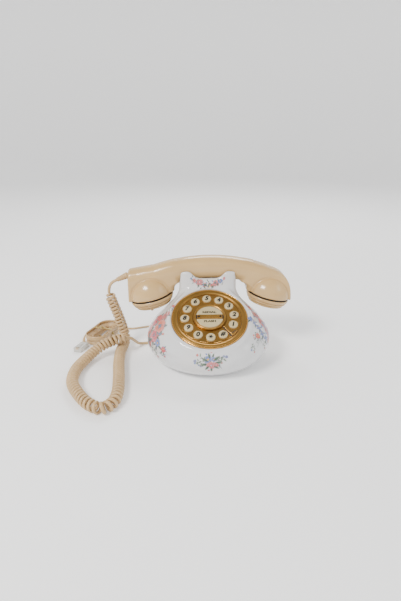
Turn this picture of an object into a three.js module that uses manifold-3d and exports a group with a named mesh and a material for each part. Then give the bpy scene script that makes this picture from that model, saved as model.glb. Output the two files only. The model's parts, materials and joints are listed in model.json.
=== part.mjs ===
// A corded desk telephone in the old French cradle style: a glazed porcelain body with four
// cradle ears, a round dial face with push keys, and a plastic handset on a curly cord.
// Millimetres, +Z up, the dial towards -Y. The origin is on the table, under the middle of the
// telephone with its handset on the cradle. The body stands a little to one side of it.
import * as THREE from "three";
import { mergeVertices } from "three/addons/utils/BufferGeometryUtils.js";
import Module from "manifold-3d";

const wasm = await Module();
wasm.setup();

// ---- driving dimensions -------------------------------------------------------------------
const GAP = 0.3; // between pieces that touch
const SLIDE_GAP = 0.4; // round a piece that slides in a hole

// porcelain body
const BODY_X = -4; // the body's centre line, beside the handset's middle
const BELLY_HALF_WIDTH = 82;
const BELLY_HALF_DEPTH = 80;
const BELLY_Z = 31;
const FOOT_RADIUS = 52; // the ring that the casting stands down to
const RIM_Z = 1.6;
const BULB_TOP_Z = 80;
const WALL = 4.5;
const NECK_Y = 38;
const NECK_HALF_WIDTH = 38.5;
const NECK_HALF_DEPTH = 22.5;
const NECK_ROUNDNESS = 5; // superellipse exponent of the neck's section
const EAR_TOP_Z = 115;
const EAR_GAP_BOTTOM = 16; // half widths of the dip between two ears
const EAR_GAP_TOP = 22.5;
const EAR_GAP_Z = 105;
const BULB_BLEND = 21; // how softly the bulb runs into the neck
const DIAL_BLEND = 11; // and into the seat of the dial
const FLANGE_RADIUS = 38; // the hole in the casting's floor
const FLANGE_THICKNESS = 4.5;

// base
const PLATE_RADIUS = 47.4;
const PLATE_THICKNESS = 2;
const PLATE_Z = 2.8;
const FOOT_PAD_RADIUS = 5.5;
const FOOT_PAD_RING = 34;
const SCREW_RING = 43;
const SCREW_RADIUS = 1.6;
const SCREW_HEAD_RADIUS = 3.2;

// dial face, in the dial's own frame: +Z out of the face, +Y up its slope
const DIAL_TILT = THREE.MathUtils.degToRad(28);
const DIAL_Y = -28.5;
const DIAL_Z = 66;
const DIAL_LIP = 0.8; // how far the porcelain stands round the bezel
const BEZEL_RADIUS = 48.8;
const BEZEL_INNER_RADIUS = 41.2;
const BEZEL_HEIGHT = 3.6;
const SKIRT_THICKNESS = 3;
const SKIRT_DEPTH = 6;
const DIAL_SEAT = 4; // the porcelain round the bezel
const DIAL_TOP = 2.4; // the dial plate's upper face
const DIAL_PLATE_THICKNESS = 1.4;
const KEY_RING = 31.6;
const KEY_RADIUS = 5.8;
const KEY_RISE = 2.1; // above the dial plate
const KEY_PITCH = THREE.MathUtils.degToRad(29.25);
const KEY_START = THREE.MathUtils.degToRad(-22.5);
const KEY_FLANGE_SHARE = 0.2754; // of the land between two keys
const CENTER_RADIUS = 20.7;
const CENTER_RIM = 3.1;
const CENTER_HEIGHT = 2.7;
const BAR_HALF = 3.2;
const CENTER_SCREW_X = 15.2;
const CARRIER_DEPTH = 7;
const MAT_THICKNESS = 1.9;
const BOARD_THICKNESS = 1.6;

// handset, with its grip along X over the neck
const HANDSET_HALF_LENGTH = 112;
const GRIP_TOP_Z = 132;
const GRIP_HALF_HEIGHT = 15.2;
const GRIP_HALF_DEPTH = 15.5;
const GRIP_TOP_RADIUS = 234;
const SECTION_ROUNDNESS = 0.8; // 1 is an ellipse, less is squarer
const HANDSET_WALL = 2.8;
const CUP_X = 81.2;
const CUP_Z = 77.4;
const CUP_RADIUS = 30.3;
const CUP_CANT = THREE.MathUtils.degToRad(13);
const CAP_DEPTH = 14.8;
const LUG_DROP = 2.4; // of the lug under the mouth cap
const CUP_CLEARANCE = 0.8; // between a hanging cup and the porcelain
const CAP_END_RADIUS = 20;
const CAP_NECK_GAP = 1.3; // round the thread neck, inside the cup
const CAP_WALL = 2.4;
const CAPSULE_HEIGHT = 8;
const MOUTH_END_Z = 113;
const CRADLE_GAP = 0.6; // between the grip and the cradle floor

// hook
const PLUNGER_RADIUS = 4;
const PLUNGER_TRAVEL = 4;
const STEM_RADIUS = 2.2;
const HOOK_BRACKET_Z = 64;

// cords
const LEAD_DIAMETER = 4.6;
const CURL_DIAMETER = 14.4;
const RELIEF_LENGTH = 15.5;
const RELIEF_NECK = 2.3; // its bare neck outside the handset's end
const RELIEF_ROOT = [-HANDSET_HALF_LENGTH, NECK_Y, 105.5];
const RELIEF_DIRECTION = [-16, 0, -7];
const LINE_WIDTH = 4.4;
const LINE_THICKNESS = 2.2;
const SOCKET_Z = 14;
const HANDSET_SOCKET_ANGLE = THREE.MathUtils.degToRad(140);
const LINE_SOCKET_ANGLE = THREE.MathUtils.degToRad(100);
const BUSH_RADIUS = 3.3;
const HANK_CENTER = [-157, 66];
const HANK_ANGLE = THREE.MathUtils.degToRad(69.7);
const HANK_LENGTH = 68;
const HANK_WIDTH = 34;
const HANK_HEIGHT = 13;
const TIE_THICKNESS = 1;
const TIE_WIDTH = 4;

// A cord's route is a list of chosen points, from the handset to the body.
const HANDSET_LEAD_POINTS = [
  [-128.9, 38, 98.1],
  [-134.4, 38.1, 95],
  [-138.2, 38.4, 90],
  [-139.7, 38.8, 84.5],
  [-140, 39, 80],
];
const CURL_POINTS = [
  [-139.9, 39, 78.8],
  [-134.8, 39, 62.4],
  [-128.7, 40, 43.4],
  [-124.1, 40, 27],
  [-121.4, 38.5, 15.5],
  [-121, 31, 8.9],
  [-122.3, 18, 7.4],
  [-123.6, 6, 7.4],
  [-122.3, -29, 7.4],
  [-117.4, -69.6, 7.4],
  [-114.6, -106, 7.4],
  [-117.5, -127, 7.4],
  [-127.5, -137.5, 7.4],
  [-142, -130, 7.4],
  [-159.2, -107, 7.4],
  [-172.3, -78.4, 7.4],
  [-173.7, -46, 7.4],
  [-166.5, -20, 8.2],
  [-157, -4, 12],
  [-146, 3, 17.2],
  [-133, 6.6, 21.8],
  [-124, 9.8, 22.9],
  [-117, 12.6, 22.9],
];
const BASE_LEAD_POINTS = [
  [-115.8, 13.1, 22.8],
  [-110.4, 16.2, 20.4],
  [-105, 24, 12],
  [-101, 33, 4.6],
  [-95, 37.6, 2.4],
  [-87, 40, 2.4],
  [-80, 46, 4.8],
  [-74, 52.4, 10.5],
  [-69.4, 54.6, 13.6],
  [-65.8, 51.6, 14],
];
const LINE_POINTS = [
  [-17.8, 78.4, 14],
  [-18.5, 82.3, 13.5],
  [-20.6, 88.4, 8.6],
  [-27, 96.4, 2.6],
  [-44, 103.4, 1.4],
  [-66, 105.5, 1.4],
  [-90, 102, 1.4],
  [-115, 94, 1.4],
  [-132.6, 86.6, 2.4],
];

// ---- colours ------------------------------------------------------------------------------
const finish = (color, roughness, metalness = 0) => ({ color, roughness, metalness });
const PORCELAIN = finish(0xf1f0ee, 0.08);
const GOLD = finish(0xb98f45, 0.35, 1);
const CREAM = finish(0xd9cba3, 0.4);
const ALMOND = finish(0xd8bf94, 0.25);
const DARK = finish(0x2b2723, 0.6);
const STEEL = finish(0xb4b4b6, 0.35, 1);
const GREEN_BOARD = finish(0x2f6b3f, 0.6);
const GREY_PLASTIC = finish(0x8a8a88, 0.6);
const CLEAR_PLASTIC = finish(0xe9e6da, 0.15);
const TIE_YELLOW = finish(0xb0923c, 0.5);

// ---- helpers ------------------------------------------------------------------------------

// A closed geometry as a solid that can be cut and joined.
function solid(geometry) {
  const bare = geometry.index ? geometry.toNonIndexed() : geometry.clone();
  bare.deleteAttribute("normal");
  bare.deleteAttribute("uv");
  const merged = mergeVertices(bare, 1e-4);
  return new wasm.Manifold(
    new wasm.Mesh({
      numProp: 3,
      vertProperties: merged.attributes.position.array,
      triVerts: new Uint32Array(merged.index.array),
    }),
  );
}

function geometryOf(made) {
  const mesh = made.getMesh();
  const geometry = new THREE.BufferGeometry();
  const positions = new Float32Array(mesh.vertProperties);
  geometry.setAttribute("position", new THREE.BufferAttribute(positions, 3));
  geometry.setIndex(new THREE.BufferAttribute(new Uint32Array(mesh.triVerts), 1));
  geometry.computeVertexNormals();
  return geometry;
}

const join = (first, ...others) =>
  geometryOf(others.reduce((made, next) => made.add(solid(next)), solid(first)));
const cut = (first, ...others) =>
  geometryOf(others.reduce((made, next) => made.subtract(solid(next)), solid(first)));

// A named mesh with its own material.
function piece(name, geometry, look) {
  const mesh = new THREE.Mesh(geometry, new THREE.MeshStandardMaterial(look));
  mesh.name = name;
  return mesh;
}

// A cylinder along Z.
function rod(radius, low, high, sides = 20) {
  const geometry = new THREE.CylinderGeometry(radius, radius, high - low, sides);
  return geometry.rotateX(Math.PI / 2).translate(0, 0, (low + high) / 2);
}

// A solid turned about Z from a closed outline of [radius, z] points.
function turned(outline, sides = 32) {
  const area = outline.reduce((sum, [r, z], i) => {
    const [nextR, nextZ] = outline[(i + 1) % outline.length];
    return sum + r * nextZ - nextR * z;
  }, 0);
  const ordered = area > 0 ? outline : [...outline].reverse();
  const points = [...ordered, ordered[0]].map(([r, z]) => new THREE.Vector2(r, z));
  return new THREE.LatheGeometry(points, sides).rotateX(Math.PI / 2);
}

// The same, for an outline whose first and last points are on the axis.
function turnedOnAxis(outline, sides = 32) {
  const points = outline.map(([r, z]) => new THREE.Vector2(r, z));
  return new THREE.LatheGeometry(points, sides).rotateX(Math.PI / 2);
}

// A flat shape made thick from one Z to another.
function slab(shape, low, high, curveSegments = 10) {
  const options = { depth: high - low, bevelEnabled: false, curveSegments };
  return new THREE.ExtrudeGeometry(shape, options).translate(0, 0, low);
}

function box(width, depth, low, high, x = 0, y = 0) {
  return new THREE.BoxGeometry(width, depth, high - low).translate(x, y, (low + high) / 2);
}

function circlePath(radius, x = 0, y = 0) {
  return new THREE.Path().absarc(x, y, radius, 0, 2 * Math.PI, true);
}

function polygon(radius, sides) {
  const corner = (_, i) =>
    new THREE.Vector2(radius, 0).rotateAround(new THREE.Vector2(), (2 * Math.PI * i) / sides);
  return new THREE.Shape(Array.from({ length: sides }, corner));
}

function disc(radius, holes = []) {
  const shape = polygon(radius, 44);
  shape.holes.push(...holes);
  return shape;
}

// The part of a circle beyond a chord, on one side of the middle bar (side is 1 or -1).
function halfMoon(radius, chord, side, Kind = THREE.Shape) {
  const start = Math.asin(chord / radius);
  const moon = new Kind();
  if (side > 0) moon.absarc(0, 0, radius, start, Math.PI - start);
  else moon.absarc(0, 0, radius, Math.PI + start, 2 * Math.PI - start);
  moon.closePath();
  return moon;
}

// Turns a geometry made along +Z to point along a direction, and moves it to a place.
function aimed(geometry, place, direction) {
  const turn = new THREE.Quaternion().setFromUnitVectors(
    new THREE.Vector3(0, 0, 1),
    new THREE.Vector3(...direction).normalize(),
  );
  return geometry.applyQuaternion(turn).translate(...place);
}

// A drum along X. ring(x) gives its section there: a rounded box with half this deep along Y,
// its rounding centred on the middle height.
function drum(stations, around, ring) {
  const last = stations.length - 1;
  const geometry = new THREE.CylinderGeometry(1, 1, 1, around, last);
  const place = geometry.attributes.position;
  const bulged = (value, reach) => Math.sign(value) * Math.abs(value) ** SECTION_ROUNDNESS * reach;
  for (let i = 0; i < place.count; i++) {
    const x = stations[Math.round((place.getY(i) + 0.5) * last)];
    const { top, middle, low, half } = ring(x);
    const reach = Math.hypot(place.getX(i), place.getZ(i));
    const turn = Math.atan2(-place.getX(i), place.getZ(i));
    const up = bulged(Math.cos(turn), reach);
    const rise = up > 0 ? top - middle : middle - low;
    place.setXYZ(i, x, half * bulged(Math.sin(turn), reach), middle + up * rise);
  }
  return geometry;
}

const curveThrough = (points) =>
  new THREE.CatmullRomCurve3(points.map((p) => new THREE.Vector3(...p)), false, "centripetal");

// A section carried along a smooth curve. The section's second axis lies level at the start.
function swept(curve, section, steps) {
  return new THREE.ExtrudeGeometry(section, { steps, extrudePath: curve, bevelEnabled: false });
}

// ---- porcelain body -----------------------------------------------------------------------
const PLANE_UP = new THREE.Vector3(0, -Math.sin(DIAL_TILT), Math.cos(DIAL_TILT));
const DIAL_CENTER = new THREE.Vector3(0, DIAL_Y, DIAL_Z);
const CRADLE_Z = GRIP_TOP_Z - 2 * GRIP_HALF_HEIGHT - CRADLE_GAP;
const CAVITY_TOP_Z = CRADLE_Z - WALL;
const FLANGE_Z = PLATE_Z + PLATE_THICKNESS + GAP;
const CAVITY_FLOOR_Z = FLANGE_Z + FLANGE_THICKNESS;

function smoothMin(a, b, softness) {
  const share = Math.max(softness - Math.abs(a - b), 0) / softness;
  return Math.min(a, b) - (share * share * softness) / 4;
}
const smoothMax = (a, b, softness) => -smoothMin(-a, -b, softness);

// Roughly the distance from an ellipse with the given half axes, negative inside it.
function ellipseDistance(across, up, halfAcross, halfUp) {
  const scaled = Math.hypot(across / halfAcross, up / halfUp);
  const slope = Math.hypot(across / halfAcross ** 2, up / halfUp ** 2);
  return slope < 1e-9 ? -Math.min(halfAcross, halfUp) : (scaled * (scaled - 1)) / slope;
}

// The bulb: round in plan, an ellipse above the belly, and a tighter one down to the rim.
function bulbDistance(p, inset) {
  const reach = Math.hypot(p.x, (p.y * BELLY_HALF_WIDTH) / BELLY_HALF_DEPTH);
  const width = BELLY_HALF_WIDTH - inset;
  if (p.z >= BELLY_Z)
    return ellipseDistance(reach, p.z - BELLY_Z, width, BULB_TOP_Z - BELLY_Z - inset);
  const below = BELLY_Z - RIM_Z - inset;
  return ellipseDistance(Math.max(reach - FOOT_RADIUS, 0), p.z - BELLY_Z, width - FOOT_RADIUS, below);
}

function neckDistance(p, inset, top) {
  const across = Math.abs(p.x) / (NECK_HALF_WIDTH - inset);
  const along = Math.abs(p.y - NECK_Y) / (NECK_HALF_DEPTH - inset);
  const scaled = (across ** NECK_ROUNDNESS + along ** NECK_ROUNDNESS) ** (1 / NECK_ROUNDNESS);
  const side = (scaled - 1) * (NECK_HALF_DEPTH - inset);
  return smoothMax(smoothMax(side, p.z - top, 5), BELLY_Z + 12 - p.z, 5);
}

// How far a point stands out of the dial plane, and how far it is from the dial's axis.
function dialFrame(p) {
  const from = p.clone().sub(DIAL_CENTER);
  const out = from.dot(PLANE_UP);
  return [out, Math.sqrt(Math.max(from.lengthSq() - out * out, 0))];
}

// The casting's skin, drawn in by inset all over. Negative inside.
function bodyDistance(p, inset, top) {
  const [out, reach] = dialFrame(p);
  const face = out - DIAL_LIP + inset;
  const bulb = smoothMax(bulbDistance(p, inset), face, DIAL_BLEND);
  const seatSide = reach - (BEZEL_RADIUS + DIAL_SEAT - inset);
  const seat = smoothMax(smoothMax(seatSide, face, 3), -out - 40, 3);
  const whole = smoothMin(bulb, neckDistance(p, inset, top), BULB_BLEND);
  return smoothMin(whole, seat, DIAL_BLEND);
}

// A ball whose points are pushed out, each along its own ray, to where a distance is zero.
function ballooned(center, distance, around, over) {
  const ball = new THREE.SphereGeometry(1, around, over).rotateX(Math.PI / 2);
  const place = ball.attributes.position;
  const ray = new THREE.Vector3();
  const at = (length) => distance(center.clone().addScaledVector(ray, length));
  for (let i = 0; i < place.count; i++) {
    ray.fromBufferAttribute(place, i).normalize();
    let high = 2;
    while (at(high) < 0) high += 2;
    let low = high - 2;
    for (let step = 0; step < 24; step++) {
      const middle = (low + high) / 2;
      if (at(middle) < 0) low = middle;
      else high = middle;
    }
    const skin = center.clone().addScaledVector(ray, low);
    place.setXYZ(i, skin.x, skin.y, skin.z);
  }
  return ball;
}

// The belly's radius at a height below its widest.
function skinRadius(z, angle) {
  const drop = (BELLY_Z - z) / (BELLY_Z - RIM_Z);
  const round = FOOT_RADIUS + (BELLY_HALF_WIDTH - FOOT_RADIUS) * Math.sqrt(1 - drop * drop);
  return round * Math.hypot(Math.cos(angle), (Math.sin(angle) * BELLY_HALF_DEPTH) / BELLY_HALF_WIDTH);
}

function onDial(geometry) {
  return geometry.rotateX(DIAL_TILT).translate(0, DIAL_Y, DIAL_Z);
}

const gripArcRadius = GRIP_TOP_RADIUS - 2 * GRIP_HALF_HEIGHT;
const gripUnderside = (x) =>
  GRIP_TOP_Z - GRIP_TOP_RADIUS + Math.sqrt(gripArcRadius ** 2 - x ** 2);

// The trough that the grip lies in: the grip's own underside with a gap, open upwards.
function cradleTrough() {
  const reach = NECK_HALF_WIDTH + 12;
  const stations = Array.from({ length: 13 }, (_, i) => BODY_X - reach + (2 * reach * i) / 12);
  const ring = (x) => ({
    top: EAR_TOP_Z + 30,
    middle: gripUnderside(x) - CRADLE_GAP + GRIP_HALF_HEIGHT,
    low: gripUnderside(x) - CRADLE_GAP,
    half: GRIP_HALF_DEPTH + CRADLE_GAP,
  });
  return drum(stations, 20, ring).translate(-BODY_X, NECK_Y, 0);
}

// The dip between the ears, right through from front to back.
function earDip() {
  const side = new THREE.Shape();
  const over = EAR_TOP_Z + 5;
  const slope = (EAR_GAP_TOP - EAR_GAP_BOTTOM) / (EAR_TOP_Z - EAR_GAP_Z);
  const topHalf = EAR_GAP_BOTTOM + slope * (over - EAR_GAP_Z);
  side.moveTo(-topHalf, over);
  side.quadraticCurveTo(-EAR_GAP_BOTTOM - 1, EAR_GAP_Z, -EAR_GAP_BOTTOM + 5, EAR_GAP_Z);
  side.lineTo(EAR_GAP_BOTTOM - 5, EAR_GAP_Z);
  side.quadraticCurveTo(EAR_GAP_BOTTOM + 1, EAR_GAP_Z, topHalf, over);
  const deep = 2 * NECK_HALF_DEPTH + 20;
  return slab(side, -deep / 2, deep / 2, 5).rotateX(Math.PI / 2).translate(0, NECK_Y, 0);
}

function socketHole(angle) {
  const out = [Math.cos(angle), Math.sin(angle), 0];
  const start = skinRadius(SOCKET_Z, angle) - 4 * WALL;
  const place = [out[0] * start, out[1] * start, SOCKET_Z];
  return aimed(rod(BUSH_RADIUS + SLIDE_GAP, 0, 6 * WALL, 14), place, out);
}

const quarterTurns = [0, 1, 2, 3].map((i) => (i * Math.PI) / 2);

// The room that a hanging cup and its cap need beside the bulb.
function cupRoom(side) {
  const wide = CUP_RADIUS + CUP_CLEARANCE;
  const end = CAP_END_RADIUS + CUP_CLEARANCE;
  const low = -CAP_DEPTH - CUP_CLEARANCE;
  const outline = [[0, low - LUG_DROP], [end - 2, low - LUG_DROP], [end, low]];
  outline.push([wide, -CAP_DEPTH / 3], [wide, CUP_RADIUS / 3], [0, CUP_RADIUS / 3]);
  return underCup(turnedOnAxis(outline, 32), side).translate(-BODY_X, NECK_Y, 0);
}

function porcelainBody() {
  const skin = ballooned(new THREE.Vector3(0, 12, 50), (p) => bodyDistance(p, 0, EAR_TOP_Z), 50, 34);
  const outer = join(skin, onDial(rod(BEZEL_RADIUS + DIAL_SEAT - 1, -16, DIAL_LIP, 48)));
  const inside = (p) => Math.max(bodyDistance(p, WALL, CAVITY_TOP_Z), CAVITY_FLOOR_Z - p.z);
  const cavity = ballooned(new THREE.Vector3(0, 12, 50), inside, 24, 16);
  const pocket = onDial(rod(BEZEL_RADIUS + GAP, 0, 40, 48));
  const dialHole = onDial(
    rod(BEZEL_INNER_RADIUS + SKIRT_THICKNESS + SLIDE_GAP, -4 * WALL, 1, 48),
  );
  const screwHoles = quarterTurns.map((turn) =>
    rod(SCREW_RADIUS + GAP, FLANGE_Z - 1, CAVITY_FLOOR_Z + 6, 10).translate(
      SCREW_RING * Math.cos(turn),
      SCREW_RING * Math.sin(turn),
      0,
    ),
  );
  return cut(
    outer,
    cavity,
    pocket,
    dialHole,
    rod(PLATE_RADIUS + SLIDE_GAP, RIM_Z - 5, FLANGE_Z, 40),
    rod(FLANGE_RADIUS, FLANGE_Z - 1, CAVITY_FLOOR_Z + 1, 40),
    ...screwHoles,
    cradleTrough(),
    earDip(),
    cupRoom(-1),
    cupRoom(1),
    rod(PLUNGER_RADIUS + SLIDE_GAP, CAVITY_TOP_Z - 3, CRADLE_Z + 8).translate(0, NECK_Y, 0),
    socketHole(HANDSET_SOCKET_ANGLE),
    socketHole(LINE_SOCKET_ANGLE),
  );
}

// ---- base ---------------------------------------------------------------------------------
const MAIN_BOARD_Z = CAVITY_FLOOR_Z + 1;
const MAIN_BOARD_SIDE = 50;
const SWITCH_Y = -14;
const SWITCH_X = 12;
const SWITCH_TRAVEL = 4;

function basePlate() {
  const posts = [-1, 1].flatMap((x) =>
    [-1, 1].map((y) => {
      const spot = MAIN_BOARD_SIDE / 2 - 4;
      const post = rod(2.5, PLATE_Z + 1, MAIN_BOARD_Z - GAP, 12);
      return post.translate(x * spot, y * spot, 0);
    }),
  );
  const slots = [-1, 1].map((side) =>
    box(4 + SLIDE_GAP, 4 + SWITCH_TRAVEL + SLIDE_GAP, 0, 8, side * SWITCH_X, SWITCH_Y + SWITCH_TRAVEL / 2),
  );
  const holes = quarterTurns.map((turn) =>
    rod(SCREW_RADIUS + GAP, 0, 9, 10).translate(
      SCREW_RING * Math.cos(turn),
      SCREW_RING * Math.sin(turn),
      0,
    ),
  );
  const plate = join(rod(PLATE_RADIUS, PLATE_Z, PLATE_Z + PLATE_THICKNESS, 40), ...posts);
  return cut(plate, ...slots, ...holes);
}

function footPad() {
  const r = FOOT_PAD_RADIUS;
  return turnedOnAxis([[0, 0], [r - 0.6, 0], [r, 0.7], [r, PLATE_Z - GAP], [0, PLATE_Z - GAP]], 20);
}

function baseScrew() {
  const nutLow = CAVITY_FLOOR_Z + GAP;
  return turnedOnAxis(
    [
      [0, PLATE_Z - 1.6],
      [SCREW_HEAD_RADIUS - 0.5, PLATE_Z - 1.6],
      [SCREW_HEAD_RADIUS, PLATE_Z - GAP],
      [SCREW_RADIUS, PLATE_Z - GAP],
      [SCREW_RADIUS, nutLow],
      [SCREW_HEAD_RADIUS, nutLow],
      [SCREW_HEAD_RADIUS, nutLow + 2.4],
      [SCREW_RADIUS, nutLow + 2.4],
      [SCREW_RADIUS, nutLow + 4],
      [0, nutLow + 4],
    ],
    12,
  );
}

function switchKnob() {
  const tall = box(4, 4, 1, MAIN_BOARD_Z - GAP);
  const grip = box(3, 3, MAIN_BOARD_Z - GAP - 1, MAIN_BOARD_Z - GAP);
  return join(tall, grip);
}

function baseParts() {
  const group = new THREE.Group();
  group.add(piece("base_plate", basePlate(), GREY_PLASTIC));
  quarterTurns.forEach((turn, i) => {
    const pad = piece(`foot_${i + 1}`, footPad(), DARK);
    const padTurn = turn + Math.PI / 4;
    pad.position.set(FOOT_PAD_RING * Math.cos(padTurn), FOOT_PAD_RING * Math.sin(padTurn), 0);
    const screw = piece(`base_screw_${i + 1}`, baseScrew(), STEEL);
    screw.position.set(SCREW_RING * Math.cos(turn), SCREW_RING * Math.sin(turn), 0);
    group.add(pad, screw);
  });
  const side = MAIN_BOARD_SIDE;
  const boardTop = MAIN_BOARD_Z + BOARD_THICKNESS;
  group.add(piece("main_board", box(side, side, MAIN_BOARD_Z, boardTop), GREEN_BOARD));
  const cup = [[0, 0], [13, 0], [13, 8], [4, 8], [4, 6.5], [0, 6.5]];
  const ringer = piece("ringer", turnedOnAxis(cup, 28), DARK);
  ringer.position.set(-9, 6, boardTop + GAP);
  const ringerSwitch = piece("ringer_switch", switchKnob(), DARK);
  ringerSwitch.position.set(-SWITCH_X, SWITCH_Y, 0);
  const toneSwitch = piece("tone_pulse_switch", switchKnob(), DARK);
  toneSwitch.position.set(SWITCH_X, SWITCH_Y, 0);
  group.add(ringer, ringerSwitch, toneSwitch);
  return group;
}

// ---- dial ---------------------------------------------------------------------------------
const PLATE_BOTTOM = DIAL_TOP - DIAL_PLATE_THICKNESS;
const CARRIER_TOP = PLATE_BOTTOM - GAP;
const FLANGE_TOP = CARRIER_TOP - 0.1;
const MAT_TOP = -CARRIER_DEPTH - GAP;
const CENTER_INNER = CENTER_RADIUS - CENTER_RIM;
const CENTER_TOP = DIAL_TOP + GAP + CENTER_HEIGHT;
const KEY_STEM_BOTTOM = -5.4;
const KEY_LAND = 2 * KEY_RING * Math.sin(KEY_PITCH / 2) - 2 * KEY_RADIUS;
const KEY_FLANGE = KEY_FLANGE_SHARE * KEY_LAND;

function bezel() {
  const inner = BEZEL_INNER_RADIUS;
  const skirt = inner + SKIRT_THICKNESS;
  return turned(
    [
      [inner, -SKIRT_DEPTH],
      [skirt, -SKIRT_DEPTH],
      [skirt, GAP],
      [BEZEL_RADIUS, GAP],
      [BEZEL_RADIUS, BEZEL_HEIGHT - 1.6],
      [BEZEL_RADIUS - 1.2, BEZEL_HEIGHT - 0.4],
      [BEZEL_RADIUS - 4.2, BEZEL_HEIGHT],
      [inner + 0.6, BEZEL_HEIGHT - 0.6],
      [inner, BEZEL_HEIGHT - 1.1],
    ],
    44,
  );
}

const keyAngle = (i) => KEY_START + i * KEY_PITCH;
const keySpots = Array.from({ length: 12 }, (_, i) => [
  KEY_RING * Math.cos(keyAngle(i)),
  KEY_RING * Math.sin(keyAngle(i)),
]);

function dialPlate() {
  const holes = keySpots.map(([x, y]) => circlePath(KEY_RADIUS + SLIDE_GAP, x, y));
  holes.push(circlePath(CENTER_INNER + 0.5));
  return slab(disc(BEZEL_INNER_RADIUS - SLIDE_GAP, holes), PLATE_BOTTOM, DIAL_TOP, 7);
}

function keyCarrier() {
  const holes = keySpots.map(([x, y]) => circlePath(KEY_RADIUS + KEY_FLANGE + SLIDE_GAP, x, y));
  for (const side of [1, -1])
    holes.push(halfMoon(CENTER_INNER + 0.8 + SLIDE_GAP, BAR_HALF - 1, side, THREE.Path));
  for (const side of [1, -1]) holes.push(circlePath(1.2, side * CENTER_SCREW_X, 0));
  return slab(disc(BEZEL_INNER_RADIUS - 0.6, holes), -CARRIER_DEPTH, CARRIER_TOP, 6);
}

function roundKey() {
  const top = DIAL_TOP + KEY_RISE;
  const flange = KEY_RADIUS + KEY_FLANGE;
  return turnedOnAxis(
    [
      [0, KEY_STEM_BOTTOM],
      [2.4, KEY_STEM_BOTTOM],
      [2.4, -2.6],
      [flange, -2.6],
      [flange, FLANGE_TOP],
      [KEY_RADIUS, FLANGE_TOP],
      [KEY_RADIUS, top - 0.5],
      [KEY_RADIUS - 0.6, top],
      [0, top + 0.2],
    ],
    14,
  );
}

function moonKey(side) {
  const capTop = CENTER_TOP - 0.6;
  const flange = slab(halfMoon(CENTER_INNER + 0.8, BAR_HALF - 0.6, side), -2.6, FLANGE_TOP, 12);
  const cap = slab(halfMoon(CENTER_INNER - SLIDE_GAP, BAR_HALF + SLIDE_GAP, side), -1, capTop, 12);
  const stem = rod(2.4, KEY_STEM_BOTTOM, -2, 12).translate(0, side * CENTER_INNER * 0.55, 0);
  return join(flange, cap, stem);
}

function centerRing() {
  const moons = [1, -1].map((side) => halfMoon(CENTER_INNER, BAR_HALF, side, THREE.Path));
  const ring = slab(disc(CENTER_RADIUS, moons), DIAL_TOP + GAP, CENTER_TOP, 12);
  const holes = [1, -1].flatMap((side) => [
    rod(1.2, 0, CENTER_TOP + 1, 10).translate(side * CENTER_SCREW_X, 0, 0),
    rod(1.9, CENTER_TOP - 1, CENTER_TOP + 1, 12).translate(side * CENTER_SCREW_X, 0, 0),
  ]);
  return cut(ring, ...holes);
}

function dialScrew() {
  const headLow = CENTER_TOP - 0.7;
  return turnedOnAxis(
    [[0, -5], [0.9, -5], [0.9, headLow], [1.6, headLow], [1.6, CENTER_TOP - 0.1], [0, CENTER_TOP]],
    12,
  );
}

// The blade across the gap between the first key and the last one, hooked at its outer end.
function fingerStop() {
  const at = (radius, degrees) => {
    const turn = THREE.MathUtils.degToRad(degrees);
    return new THREE.Vector2(radius * Math.cos(turn), radius * Math.sin(turn));
  };
  const inner = CENTER_RADIUS + SLIDE_GAP;
  const outer = BEZEL_INNER_RADIUS - 1;
  const outline = [
    at(inner + 0.2, -31),
    at(outer - 2.6, -39.5),
    at(outer - 2.4, -33.5),
    at(outer, -33),
    at(outer, -41.5),
    at(outer - 0.4, -47),
    at(inner + 0.2, -42.5),
  ];
  return slab(new THREE.Shape(outline.reverse()), DIAL_TOP + GAP, DIAL_TOP + GAP + 1.1);
}

function dialParts() {
  const group = new THREE.Group();
  group.rotation.x = DIAL_TILT;
  group.position.set(0, DIAL_Y, DIAL_Z);
  const discRadius = BEZEL_INNER_RADIUS - 1;
  const matBottom = MAT_TOP - MAT_THICKNESS;
  const boardTop = matBottom - GAP;
  group.add(
    piece("dial_bezel", bezel(), GOLD),
    piece("dial_plate", dialPlate(), GOLD),
    piece("center_ring", centerRing(), GOLD),
    piece("finger_stop", fingerStop(), GOLD),
    piece("key_carrier", keyCarrier(), GREY_PLASTIC),
    piece("key_mat", rod(discRadius, matBottom, MAT_TOP, 40), DARK),
    piece("keypad_board", rod(discRadius, boardTop - BOARD_THICKNESS, boardTop, 40), GREEN_BOARD),
    piece("redial_key", moonKey(1), CREAM),
    piece("flash_key", moonKey(-1), CREAM),
  );
  const names = ["1", "2", "3", "4", "5", "6", "7", "8", "9", "0", "star", "hash"];
  names.forEach((name, i) => {
    const key = piece(`key_${name}`, roundKey(), CREAM);
    key.position.set(...keySpots[i], 0);
    group.add(key);
  });
  for (const side of [-1, 1]) {
    const screw = piece(`dial_screw_${side < 0 ? 1 : 2}`, dialScrew(), DARK);
    screw.position.set(side * CENTER_SCREW_X, 0, 0);
    group.add(screw);
  }
  return group;
}

// ---- hook ---------------------------------------------------------------------------------
const PLUNGER_FLANGE_Z = CAVITY_TOP_Z - PLUNGER_TRAVEL - 4.5;
const BRACKET_THICKNESS = 3;

function plunger() {
  const top = CRADLE_Z - 0.1;
  const low = PLUNGER_FLANGE_Z;
  return turnedOnAxis(
    [
      [0, HOOK_BRACKET_Z - 5],
      [STEM_RADIUS, HOOK_BRACKET_Z - 5],
      [STEM_RADIUS, low],
      [PLUNGER_RADIUS + 2.5, low],
      [PLUNGER_RADIUS + 2.5, low + 2.5],
      [PLUNGER_RADIUS, low + 2.5],
      [PLUNGER_RADIUS, top - 1],
      [PLUNGER_RADIUS - 1, top],
      [0, top],
    ],
    20,
  );
}

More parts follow.
